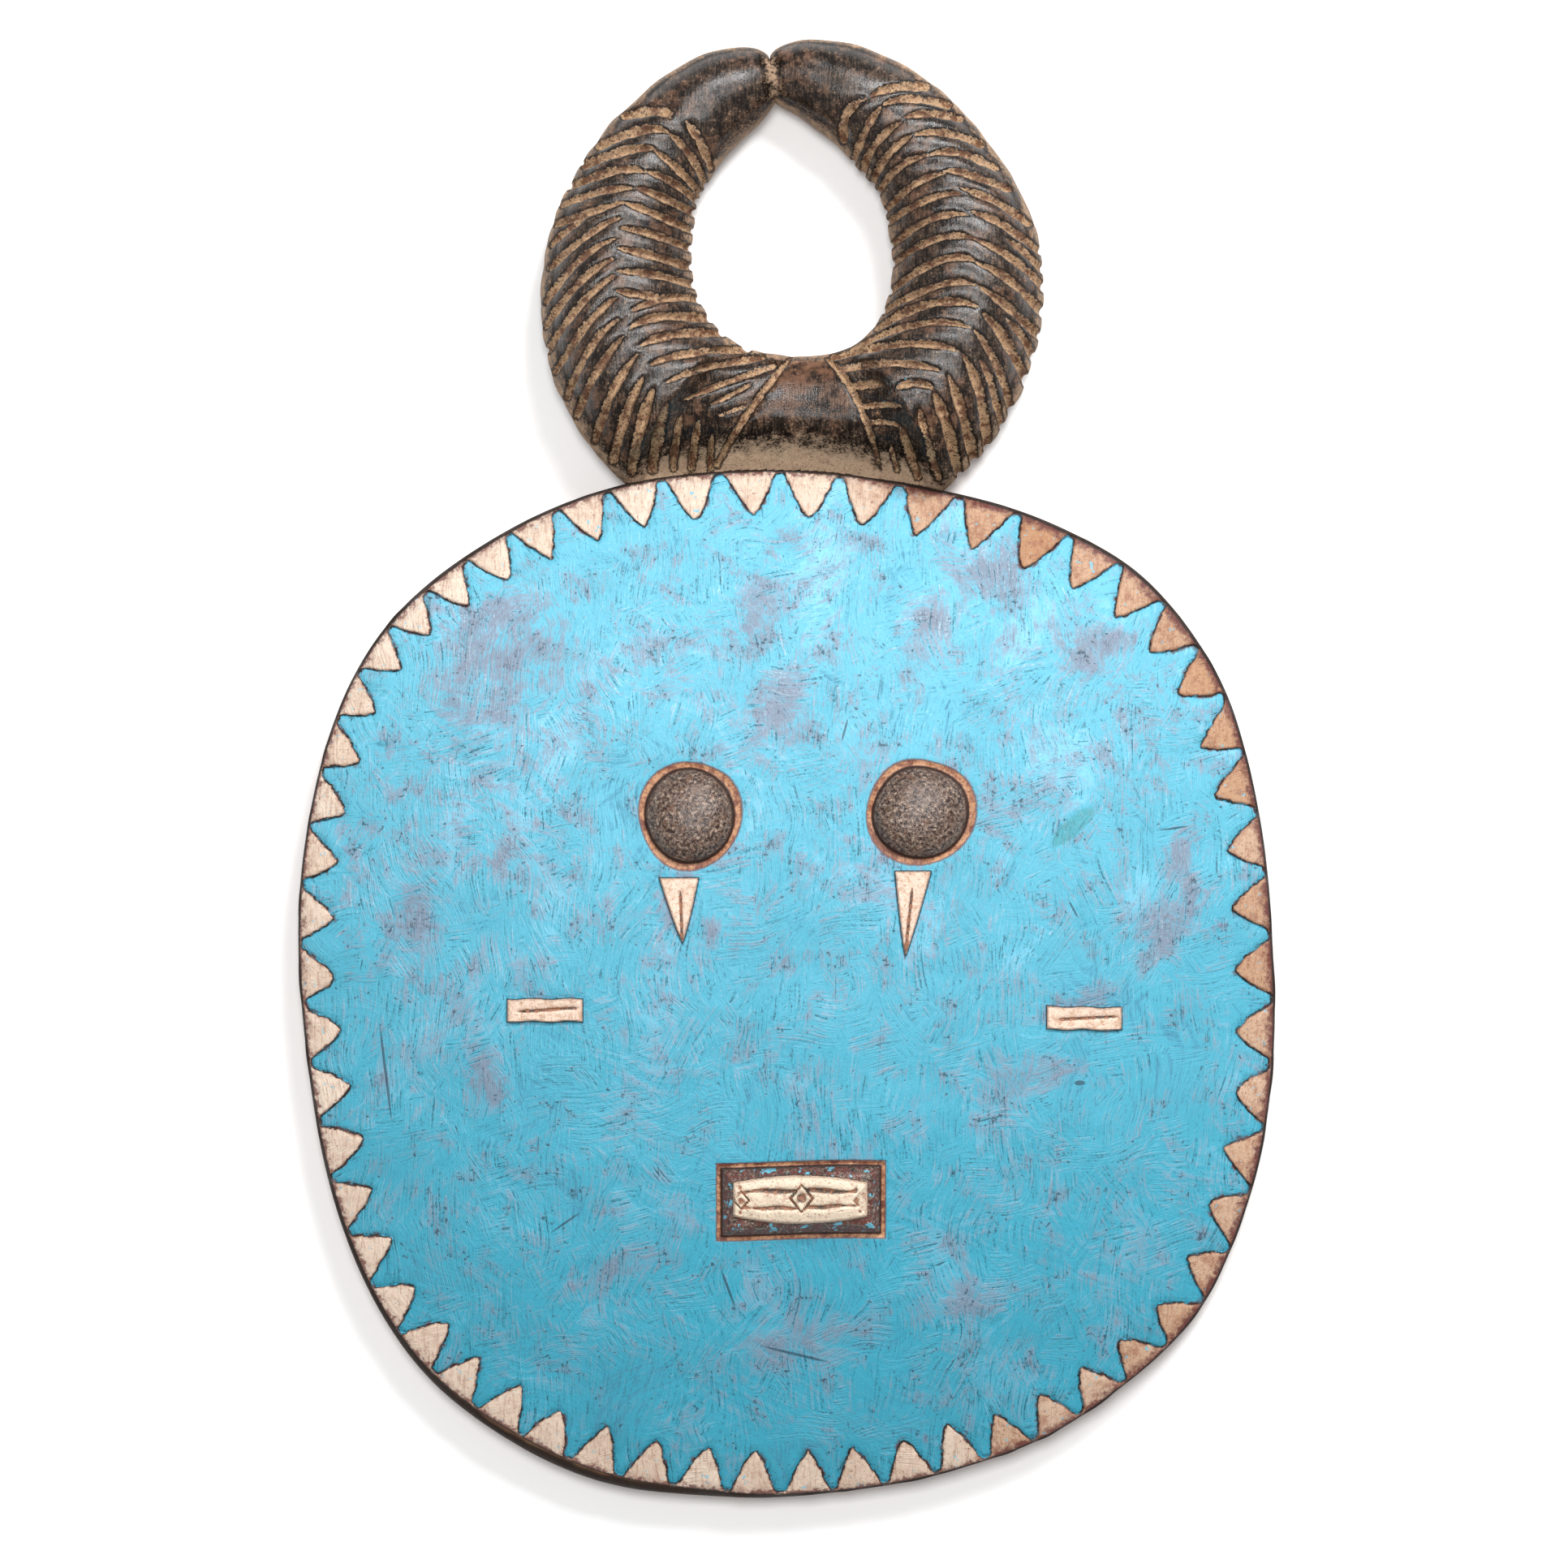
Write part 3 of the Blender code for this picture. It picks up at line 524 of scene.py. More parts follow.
def eye_field(face, x, y, eye, rng):
    """Distance inside an eye's edge, its painter's field, and the distance from its middle in half widths.

    The field is millimetres inside the edge, and outside it minus the share of the bare ring crossed.
    """
    across, up = x - eye[0], y - eye[1]
    angle = np.arctan2(up, across)
    wobble = sum(rng.uniform(-0.012, 0.012) * np.cos(n * angle + rng.uniform(0, 6)) for n in (2, 3, 4, 5))
    scaled = np.hypot(across / eye[2], up / eye[3]) / (1 + wobble)
    radius = np.hypot(across, up) / np.maximum(scaled, 1e-6)
    inside = (1 - scaled) * radius
    ring = face.eye_ring * (1 + 0.30 * bump(np.angle(np.exp(1j * (angle - 0.7))), 0, 0.5)
                            + 0.16 * np.sin(3 * angle + rng.uniform(0, 6)))
    return inside, np.where(inside < 0, inside / ring, inside / MM), scaled


def rectangle_field(across, up, half_length, half_width):
    """Distance inside a rectangle's nearest side."""
    return np.minimum(half_length - np.abs(across), half_width - np.abs(up))


def wedge_field(x, y, sizes):
    """Distance inside a wedge that narrows to its tip, and the groove down its middle, from 0 to 1."""
    top_x, top_y, tip_x, tip_y, width = sizes
    down = (top_y - y) / (top_y - tip_y)
    across = x - (top_x + (tip_x - top_x) * down)
    half = width / 2 * np.clip(1 - down, 0, 1) ** 0.85
    inside = np.minimum(np.minimum(down * (top_y - tip_y), half - np.abs(across)), (1 - down) * 0.01)
    groove = bump(across, 0.0004 - 0.0006 * down, GROOVE_WIDTH) * soft_step(down, 0.08, 0.3)
    groove = groove * soft_step(1 - down, 0, 0.1)
    return inside, groove * (inside > -0.001)


def bar_field(face, x, y, bar):
    """Distance inside a cheek bar's wavy edge, and the groove along it, from 0 to 1."""
    bar_x, bar_y, lean = bar
    across, up = x - bar_x, y - bar_y - radians(lean) * (x - bar_x)
    half = face.bar_length / 2
    edge_wave = 0.00025 * np.sin(across * 420 + lean)
    inside = rectangle_field(across, up + edge_wave, half, face.bar_width / 2)
    line = 0.0002 + 0.0008 * np.sin(across * 90)
    groove = bump(up, line, GROOVE_WIDTH) * soft_step(half - across, 0, 0.004)
    return inside, groove * (soft_step(half + across, 0.002, 0.007) * (inside > 0))


def mouth_fields(face, x, y):
    """Fields of the mouth: inside the block, inside the lips, and what is cut into them.

    Two slits part the lips from the band between them. It has a diamond in its middle and one at its left.
    Along its length a slit widens and narrows as the size of a sine.
    """
    across, up = x - MOUTH[0], y - MOUTH[1]
    sag = 0.0007 * np.sin(across * 55 + 0.6)
    block = rectangle_field(across, up - sag, face.mouth_length / 2, face.mouth_width / 2)
    lip_x, lip_y = across + 0.0003, up - LIPS_RISE
    half = face.lip_length / 2
    bow = 0.0030 * (1 - (lip_x / half) ** 2)
    lips = rectangle_field(lip_x, lip_y, half, face.lip_width / 2 - 0.0026 + bow)
    upper = 0.0040 - 0.0009 * (lip_x / half) ** 2 + 0.0003 * np.sin(lip_x * 300)
    lower = -0.0034 + 0.0014 * np.clip(lip_x / half, 0, 1) + 0.0002 * np.sin(lip_x * 520)
    along = soft_step(half - np.abs(lip_x), 0.0030, 0.0055)
    lens = 0.0004 + 0.0008 * np.abs(np.sin(pi * lip_x / LENS_LENGTH))
    slit = along * (bump(lip_y, upper, lens) + bump(lip_y, lower, 0.8 * lens))
    band = along * soft_step(upper - lip_y, 0, 0.0006) * soft_step(lip_y - lower, 0, 0.0006)
    diamonds = np.maximum.reduce([1 - np.abs(lip_x - at_x) / half_x - np.abs(lip_y - at_y) / half_y
                                  for at_x, at_y, half_x, half_y in DIAMONDS])
    slit = np.where(diamonds > 0.12, 0, slit) + bump(diamonds, 0.06, 0.11)
    holes = sum(depth * bump(np.hypot(lip_x - at_x, lip_y - at_y), 0, radius)
                for at_x, at_y, radius, depth in LIP_HOLES)
    notch = soft_step(lip_x - 0.0205 - 1.1 * np.abs(lip_y + 0.0004), 0.0, 0.0008) * (lip_x < half - 0.0006)
    return block, lips, slit, np.clip(diamonds, 0, 1), holes, notch, band


def carve_teeth(face, height, tooth):
    """Raise the teeth in the height by a smooth step at their edge and a slow one behind it, in a line."""
    edge, crown = soft_step(tooth, -0.0003, 0.0006), soft_step(tooth, 0, 0.004)
    height += face.tooth_relief * (0.75 * edge + 0.25 * crown)
    height -= 0.0005 * bump(tooth, -0.0004, 0.0004)


def carve_eyes(face, height, x, y, rng):
    """Raise the eyes in the height, each as (1 − r^2.3)^0.62 in its groove.

    Returned is their painter's field.
    """
    boss = np.full_like(x, -99.0)
    for eye in EYES:
        inside, field, scaled = eye_field(face, x, y, eye, rng)
        height += face.eye_height * np.clip(1 - scaled ** 2.3, 0, 1) ** 0.62
        height -= 0.0011 * np.where(inside < 0, bump(field, -0.45, 0.42), 0)
        boss = np.maximum(boss, field)
    return boss


def carve_pads(face, height, x, y):
    """Raise the wedges and cheek bars in the height by a smooth step, and sink their grooves.

    Returned are the distance inside their edges, and the grooves.
    """
    cream = np.full_like(x, FAR_OUT)
    furrow = np.zeros_like(x)
    pads = [wedge_field(x, y, sizes) for sizes in WEDGES] + [bar_field(face, x, y, bar) for bar in BARS]
    for inside, groove in pads:
        height += face.wedge_height * soft_step(inside, -0.0002, 0.0006) - face.groove * groove
        height -= PAD_LINE * bump(inside, -0.0006, 0.0004)
        cream = np.maximum(cream, inside)
        furrow = np.maximum(furrow, groove)
    return cream, furrow


def carve_mouth(face, height, x, y):
    """Raise the block of the mouth and its lips in the height, and sink what is cut into them.

    Returned are the block's painter's field, the distance inside the lips, and how dark their cuts are
    painted.
    """
    block, lips, slit, diamonds, holes, notch, band = mouth_fields(face, x, y)
    slope = np.clip(block / 0.0040, 0, 1) ** 0.6
    height += face.mouth_height * slope + face.lip_height * soft_step(lips, -0.0002, 0.0010)
    height -= 0.0010 * bump(block, -0.0010, 0.0009) * (block < 0)
    carved = 0.0009 * diamonds ** 0.5 - 0.0013 * np.clip(slit, 0, 1) - 0.0012 * holes
    carved = carved - 0.0010 * notch - 0.0004 * band
    height += 0.0010 * soft_step(lips, 0.0003, 0.0050) + (lips > 0) * carved
    darkened_cuts = 0.9 * slit + 0.9 * holes + 0.40 * notch + 0.22 * band
    block_field = np.where(block < 0, block / face.mouth_groove, block / MM)
    return block_field, lips, np.clip(darkened_cuts, 0, 1) * (lips > 0)


def tooth_tone(border, angle):
    """Dye of the tooth at each angle round the face, from 0 for cream to 1 for tan; the tan deepens at the
    upper right as painted shade.
    """
    k, _ = border.tooth_of(border.share_of(angle))
    degrees = np.degrees(angle + pi) % 360 - 180
    low, high = TAN_TEETH
    tan_side = soft_step(degrees, low - 4, low + 4) * soft_step(-degrees, -high - 4, 4 - high)
    # Painted shade: the tan deepens at the upper right, where the key light is strongest
    upper_right_shade = 0.62 + 0.38 * bump(degrees, 48, 32)
    return np.clip(0.18 + 0.72 * tan_side * upper_right_shade + 0.30 * (border.shade[k] - 0.5), 0, 1)


def front_of_face(face, border, x, y):
    """Height of the front at each place, and its painter's fields.

    The dome is the rim's height plus a rise that falls off by a power law. Teeth, eyes, wedges, bars and the
    mouth are added to it as smooth steps of the distance inside their edges.
    """
    rng = np.random.default_rng(SEED + 1)
    angle = np.arctan2(y, x) % (2 * pi)
    share = np.minimum(np.hypot(x, y) / outline_reach(face, angle), 1.0)
    height = face.rim_height + face.dome_rise * (1 - share ** face.dome_power)
    height += face.waviness * waves(x, y, rng, 14, 0.030, 0.110)
    height += 0.3 * face.waviness * waves(x, y, rng, 16, 0.007, 0.016)
    tooth, inset = border.distance(x, y)
    carve_teeth(face, height, tooth)
    eyes = carve_eyes(face, height, x, y, rng)
    cream, grooves = carve_pads(face, height, x, y)
    block, lips, darkened_cuts = carve_mouth(face, height, x, y)
    fields = {"tooth": tooth / MM, "inset": inset / MM, "boss": np.maximum(eyes, block), "cream": cream / MM,
              "lip": lips / MM, "furrow": np.maximum(grooves, darkened_cuts), "tone": tooth_tone(border, angle)}
    return height, fields


def lattice(step, half_x, half_y):
    """Places of a grid of equal triangles, every other row shifted half a step."""
    rows = np.arange(-half_y, half_y, step * 3 ** 0.5 / 2)
    columns = np.arange(-half_x, half_x, step)
    x, y = np.meshgrid(columns, rows)
    x = x + (np.arange(len(rows)) % 2)[:, None] * step / 2
    return np.stack((x.ravel(), y.ravel()), axis=1)


def rectangle_places(x, y, half_x, half_y, step):
    """Places of an even rectangular grid round a point."""
    across = np.linspace(-half_x, half_x, int(2 * half_x / step) + 1)
    up = np.linspace(-half_y, half_y, int(2 * half_y / step) + 1)
    grid_x, grid_y = np.meshgrid(across, up)
    return np.stack((x + grid_x.ravel(), y + grid_y.ravel()), axis=1)


def eye_places(eye, ring_width):
    """Places on rings round an eye.

    Inside it they close up towards its steep edge. Two more rings lie in its bare groove and two beyond it.
    """
    shares = np.concatenate((np.sin(np.linspace(0.07, 1, EYE_RINGS) * pi / 2),
                             1 + np.array(GROOVE_RINGS) * ring_width / eye[2]))
    turn = (np.arange(len(shares)) % 2)[:, None] * pi / EYE_SIDES
    angle = np.arange(EYE_SIDES) * 2 * pi / EYE_SIDES + turn
    x = eye[0] + eye[2] * shares[:, None] * np.cos(angle)
    y = eye[1] + eye[3] * shares[:, None] * np.sin(angle)
    return np.stack((x.ravel(), y.ravel()), axis=1)


def pad_grids(face):
    """Fine grids of places over the cheek bars, the wedges and the mouth, in three lists."""
    half_x, half_y = face.bar_length / 2 + PAD_MARGIN, face.bar_width / 2 + PAD_MARGIN
    bars = [rectangle_places(x, y, half_x, half_y, FINE_STEP) for x, y, _ in BARS]
    wedges = [rectangle_places((top_x + tip_x) / 2, (top_y + tip_y) / 2, width / 2 + PAD_MARGIN,
                               (top_y - tip_y) / 2 + PAD_MARGIN, FINE_STEP)
              for top_x, top_y, tip_x, tip_y, width in WEDGES]
    half_x, half_y = face.mouth_length / 2 + MOUTH_MARGIN, face.mouth_width / 2 + MOUTH_MARGIN
    return bars, wedges, [rectangle_places(*MOUTH, half_x, half_y, MOUTH_STEP)]


def within(places, grid, margin):
    """Whether each place lies in the box round a grid, with a margin."""
    return ((places > grid.min(axis=0) - margin) & (places < grid.max(axis=0) + margin)).all(axis=1)


def front_places(face, border):
    """Places of the front's points: rim, lines at the teeth, rings of the eyes, fine grids, a lattice."""
    column = np.arange(RIM_COLUMNS)
    rim = border.place((column + RIM_TURN) / RIM_COLUMNS, KNIFE_STEP * (column % 2))
    lines = border.edge_lines(TOOTH_LINES, LINE_STEP)
    _, inset = border.distance(lines[:, 0], lines[:, 1])
    lines = lines[inset > 0.0005]
    bars, wedges, mouth = pad_grids(face)
    plain = lattice(face.mesh_step, face.half_width, face.half_height)
    x, y = plain[:, 0], plain[:, 1]
    tooth, inset = border.distance(x, y)
    keep = (inset > 0.0012) & (np.abs(tooth) > 0.0021)
    for eye in EYES:
        keep &= np.hypot((x - eye[0]) / (eye[2] + EYE_CLEARANCE), (y - eye[1]) / (eye[3] + EYE_CLEARANCE)) > 1
    for grid in bars + wedges + mouth:
        keep &= ~within(plain, grid, 0.0008)
    eyes = [eye_places(eye, face.eye_ring) for eye in EYES]
    for grid in wedges:
        eyes = [rings[~within(rings, grid, 0.0005)] for rings in eyes]
    return np.concatenate([rim, lines] + eyes + bars + wedges + mouth + [plain[keep]])


def triangles_over(places, edge_count):
    """Triangles over scattered places, inside the closed line that the first edge_count of them form.

    A triangle with all three corners on that line is outside it when the line passes them backwards.
    """
    ring = np.arange(edge_count)
    edges = np.stack((ring, np.roll(ring, -1)), axis=1)
    made, _, triangles, *_ = delaunay_2d_cdt(places.tolist(), edges.tolist(), [], 1, 1e-8, False)
    if len(made) != len(places):
        raise ValueError("two of the places are the same, or one lies on the outline")
    triangles = np.array(triangles)
    steps = (np.roll(triangles, -1, axis=1) - triangles) % edge_count
    outside = (triangles < edge_count).all(axis=1) & (steps.sum(axis=1) > edge_count)
    return triangles[~outside]


def back_of_face(face, x, y):
    """Height of the back: a flat land round the edge, and a gouged hollow one wall behind the dome.

    The gouge marks are the lower envelope of oval scoops: each place takes its nearest scoop's parabola.
    """
    angle = np.arctan2(y, x) % (2 * pi)
    reach = outline_reach(face, angle)
    from_middle = np.hypot(x, y)
    hollow = face.rim_height + face.dome_rise * (1 - (from_middle / reach) ** face.dome_power) - face.wall
    row = np.round(y / SCOOP_LENGTH)
    place = (x / SCOOP_WIDTH + 0.5 * (row % 2)) % 1.0 - 0.5
    scoop = (2 * place) ** 2 + (2 * (y / SCOOP_LENGTH - row)) ** 2
    depth = soft_step(reach - from_middle, face.land, face.hollow_edge)
    return np.maximum(hollow - SCOOP_DEPTH * scoop, 0) * depth


def back_places(face, border, share):
    """Places of the back's points: its outline, lines along the land and the hollow's edge, and a lattice."""
    knife = KNIFE_STEP * (np.arange(RIM_COLUMNS) % 2)
    lands = [border.place(share[::2], line, 0.0) for line in (face.land * 0.5, face.land, face.land + 0.003)]
    lands += [border.place(share[::3], line, 0.0) for line in (face.hollow_edge - 0.003, face.hollow_edge)]
    plain = lattice(face.back_step, face.half_width, face.half_height)
    _, inset = border.distance(plain[:, 0], plain[:, 1])
    inner = plain[inset > face.hollow_edge + 0.001]
    return np.concatenate([border.place(share, BACK_CHAMFER + knife, 0.0)] + lands + [inner])


def side_rings(border, share, rim, rim_top):
    """Rings of points down the side of the face, worn uneven near the front, to just over the ground."""
    worn = WEAR * waves(rim[:, 0], rim[:, 1], np.random.default_rng(SEED + 3), 14, 0.008, 0.04)
    rings = []
    for flares, drop in SIDE_RINGS:
        ring = border.place(share, worn if drop < WEAR_REACH else 0.0, flares)
        rings.append(np.column_stack((ring, rim_top - drop)))
    rings.append(np.column_stack((border.place(share, 0.0, 0.0), np.full(RIM_COLUMNS, SIDE_FOOT))))
    return rings


def face_shell(face):
    """Closed shell of the face: front and back triangulated over scattered places, and rings between them."""
    border = Border(face)
    column = np.arange(RIM_COLUMNS)
    share = (column + RIM_TURN) / RIM_COLUMNS
    front = front_places(face, border)
    height, fields = front_of_face(face, border, front[:, 0], front[:, 1])
    back = back_places(face, border, share)
    back_height = back_of_face(face, back[:, 0], back[:, 1])
    side = side_rings(border, share, front[:RIM_COLUMNS], height[:RIM_COLUMNS])
    points = [np.column_stack((front, height))] + side + [np.column_stack((back, back_height))]
    starts = len(front) + RIM_COLUMNS * np.arange(len(side) + 1)
    rings = [column] + [start + column for start in starts]
    sides = np.concatenate([np.stack((low, np.roll(low, -1), np.roll(high, -1), high), axis=1)
                            for high, low in zip(rings, rings[1:])])
    front_faces = triangles_over(front, RIM_COLUMNS)
    back_faces = triangles_over(back, RIM_COLUMNS)[:, ::-1] + starts[-1]
    faces = front_faces.tolist() + sides.tolist() + back_faces.tolist()
    slots = np.repeat((0, 1, 1), (len(front_faces), len(sides), len(back_faces)))
    points = np.concatenate(points)
    spare = np.zeros(len(points) - len(front))
    return points, faces, slots, {name: np.concatenate((values, spare)) for name, values in fields.items()}


def face_entry(face, centre, angle):
    """How far along each ray from the ring's centre the face's edge is met, by a table of a ray a degree."""
    rays = np.radians(np.arange(0, 721, 1.0))
    travel = np.linspace(0.0, RING_ABOVE_FACE + face.half_height, RAY_SAMPLES)
    x = centre[0] + np.cos(rays)[:, None] * travel
    y = centre[1] + np.sin(rays)[:, None] * travel
    inside = np.hypot(x, y) < outline_reach(face, np.arctan2(y, x) % (2 * pi))
    entry = np.where(inside.any(axis=1), travel[inside.argmax(axis=1)], travel[-1])
    return np.interp(angle, rays, entry)


def cut_rows(share, near_neck, near_root, panel_line, side):
    """Rows of one horn's cuts at each share of the way to its root: angle at the ridge, outer and inner edge.

    The outer end leads the ridge by a + b·sin(π·share) − c·share², and the inner end by d + e·share^1.5, but
    by no more than its part of the way to the panel's line. Side is 1 for the left horn, −1 for the right.
    """
    lead, middle_lead, root_loss = (side * degrees for degrees in OUTER_LEAD)
    inner_lead, root_lead, most = INNER_LEAD
    ridge = near_neck + (near_root - near_neck) * share
    outer = ridge + lead + middle_lead * np.sin(pi * share) - root_loss * share ** 2
    room = most * (side * (panel_line - ridge))
    inner = ridge + side * np.minimum(inner_lead + root_lead * share ** 1.5, room)
    return np.stack((ridge, outer, inner), axis=1)


def horn_rows():
    """Rows round the ring from the left tip by rising angle: their angle at the ridge, outer and inner edge.

    The rows of the two tips close up towards the neck. Between the knots, which are the cuts of each horn and
    the two panel lines, the rows are even.
    """
    near = (np.arange(TIP_ROWS) / TIP_ROWS) ** 1.5
    near_neck, near_root, count = LEFT_CUTS
    left = cut_rows(np.linspace(0, 1, count), near_neck, near_root, LEFT_PANEL_LINE[2], 1)
    near_root, near_neck, count = RIGHT_CUTS
    right = cut_rows(np.linspace(1, 0, count), near_neck, near_root, RIGHT_PANEL_LINE[2], -1)
    knots = np.concatenate((left, [LEFT_PANEL_LINE, RIGHT_PANEL_LINE], right))
    gaps = [ROWS_A_CUT] * (len(left) - 1) + list(PANEL_ROWS) + [ROWS_A_CUT] * (len(right) - 1)
    number = TIP_ROWS + np.concatenate(([0], np.cumsum(gaps)))
    rows = np.arange(TIP_ROWS, number[-1] + 1)
    middle = np.stack([np.interp(rows, number, column) for column in knots.T], axis=1)
    start = NECK_ANGLE + (middle[0] - NECK_ANGLE) * near[:, None]
    end = NECK_ANGLE + 360 + (middle[-1] - NECK_ANGLE - 360) * near[:0:-1, None]
    return np.concatenate((start, middle, end))


def seen_at(points):
    """Pixel at which each point is seen by the camera straight above the picture's middle."""
    x, y = photo_place(*PHOTO_MIDDLE)
    closer = CAMERA_DISTANCE / (CAMERA_DISTANCE + RIM_LEVEL - points[..., 2])
    across = PHOTO_MIDDLE[0] + (points[..., 0] - x) * closer / PIXEL
    return across, PHOTO_MIDDLE[1] - (points[..., 1] - y) * closer / PIXEL


def one_cut(cut, across, down, phase):
    """Pixels inside one chevron cut's edge at each pixel, and its depth as a share of a common cut's.

    The cut follows an arc through three places, in straight runs. It is narrow at the ridge and widens over
    0.30 of its length. Its depth is (1 − t²)^0.6, t being the distance from its middle in half widths.
    """
    x0, y0, xm, ym, x1, y1, width = cut
    t = np.linspace(0, 1, CUT_PIECES + 1)
    line_x = x0 * (1 - t) * (1 - 2 * t) + 4 * xm * t * (1 - t) + x1 * t * (2 * t - 1)
    line_y = y0 * (1 - t) * (1 - 2 * t) + 4 * ym * t * (1 - t) + y1 * t * (2 * t - 1)
    best = np.full(across.shape, -40.0)
    full = np.zeros(across.shape)
    for i in range(CUT_PIECES):
        run_x, run_y = line_x[i + 1] - line_x[i], line_y[i + 1] - line_y[i]
        step = ((across - line_x[i]) * run_x + (down - line_y[i]) * run_y) / (run_x ** 2 + run_y ** 2)
        step = np.clip(step, 0, 1)
        along = (i + step) / CUT_PIECES
        off = np.hypot(across - line_x[i] - step * run_x, down - line_y[i] - step * run_y)
        half = width / 2 * np.clip(along / 0.30, 0.0, 1) ** 0.6 * (1 - 0.15 * soft_step(along, 0.8, 1.0))
        half *= 1 + 0.12 * np.sin(along * 14 + phase) + 0.06 * np.sin(along * 33 + 2 * phase)
        here = half - off
        depth = np.clip(1 - (off / np.maximum(half, 0.1)) ** 2, 0, 1) ** 0.6 * half / 4
        full = np.where(here > best, depth, full)
        best = np.maximum(best, here)
    return best, full


def cut_fields(across, down, rng):
    """Pixels inside the nearest chevron cut's edge, and the depth of that cut."""
    inside = np.full(across.shape, -40.0)
    deep = np.zeros(across.shape)
    for cut in LEFT_OUTER_CUTS + LEFT_INNER_CUTS + RIGHT_OUTER_CUTS + RIGHT_INNER_CUTS:
        x0, y0, xm, ym, x1, y1, _ = cut
        near = np.hypot(across - xm, down - ym) < np.hypot(x1 - x0, y1 - y0) * 0.75 + 24
        best, full = one_cut(cut, across[near], down[near], rng.uniform(0, 6))
        deep[near] = np.where(best > inside[near], full, deep[near])
        inside[near] = np.maximum(inside[near], best)
    return inside, deep


class HornRing:
    """Smooth surface of the ring of horns before any cut: rows round the ring, and columns across it.

    The section's front is a superellipse's arch from edge to edge, and its back a flatter superellipse. Where
    the ring grows out of the face its outer side falls as a bell, and at the neck both tips are rounded.
    """

    def __init__(self, face, horns):
        """Place each point across its section and round the ring, between the inner and the outer outline."""
        turn = np.linspace(-pi / 2, pi / 2, horns.front_columns)
        under = np.linspace(0, pi, horns.back_columns + 2)[1:-1]
        back_place = np.sign(np.cos(under)) * np.abs(np.cos(under)) ** BACK_POWER
        self.place = np.concatenate((np.sin(turn), back_place))[None]
        self.drop = np.concatenate((0 * turn, np.sin(under) ** BACK_POWER))[None]
        ridge, outer_row, inner_row = (column[:, None] for column in horn_rows().T)
        bend = np.abs(self.place) ** ROW_BEND
        self.degrees = ridge + (np.where(self.place > 0, outer_row, inner_row) - ridge) * bend
        one_way = np.abs(self.degrees - NECK_ANGLE)
        self.from_neck = np.minimum(one_way, np.abs(self.degrees - NECK_ANGLE - 360))
        self.full = np.sqrt(np.clip(1 - (1 - np.minimum(self.from_neck / TIP_ROUNDING, 1)) ** 2, 0, 1))

        knots, inner, outer = (np.array(column, dtype=float) for column in zip(*RING_OUTLINE))
        inner = smooth_curve(knots, inner, self.degrees)
        outer = smooth_curve(knots, outer, self.degrees)
        centre = RING_SIDE_SHIFT, float(plain_reach(face, np.array(pi / 2))) + RING_ABOVE_FACE
        angle = np.radians(self.degrees)
        self.root = face_entry(face, centre, angle) + RING_ROOT
        self.rooted = np.clip((outer - self.root) / HORN_ROOT_BLEND + 1, 0, 1)
        outer = np.minimum(outer, self.root)
        arch = horns.arch * (outer - inner) / 2 * (1 - ROOT_ARCH_LOSS * self.rooted)
        outer = horns.neck_outer + (outer - horns.neck_outer) * self.full
        arch = horns.neck_arch + (arch - horns.neck_arch) * self.full
        self.distance = (inner + outer) / 2 + (outer - inner) / 2 * self.place
        self.points = np.stack((centre[0] + self.distance * np.cos(angle),
                                centre[1] + self.distance * np.sin(angle), self.height(horns, arch)), axis=-1)

    def height(self, horns, arch):
        """Height of the section: its arch over the edge on the front, and down to the flat back behind."""
        round_side = np.sqrt(np.clip(1 - np.abs(self.place) ** horns.roundness, 0, 1))
        bell = (np.cos(pi * np.clip(self.place, 0, 1)) + 1) / 2
        rise = np.where(self.place > 0, round_side + (bell - round_side) * self.rooted, round_side)
        behind = horns.edge - (horns.edge - horns.back) * self.drop
        return np.where(self.drop == 0, horns.edge + arch * rise, behind)

    def normals(self):
        """Direction out of the surface at each point."""
        along = np.roll(self.points, -1, axis=0) - np.roll(self.points, 1, axis=0)
        around = np.roll(self.points, -1, axis=1) - np.roll(self.points, 1, axis=1)
        normal = np.cross(around, along)
        return normal / np.maximum(np.linalg.norm(normal, axis=-1, keepdims=True), 1e-12)

    def dust(self):
        """Dust on the horns: along both sides, over the face's edge and in the web of the neck."""
        root_band = self.rooted * soft_step(self.distance, self.root - 0.0270, self.root - 0.0070)
        sides = soft_step(np.abs(self.place), 0.74, 1.0) * 0.70
        return np.maximum(np.maximum(sides, root_band), 0.60 * bump(self.from_neck, 0, 3.0))

    def panel(self):
        """Smooth panel at the ring's foot, on its inner half."""
        sides = soft_step(self.degrees, 256, 262) * soft_step(-self.degrees, -290, -286)
        return sides * soft_step(-self.place, 0.25, 0.75)


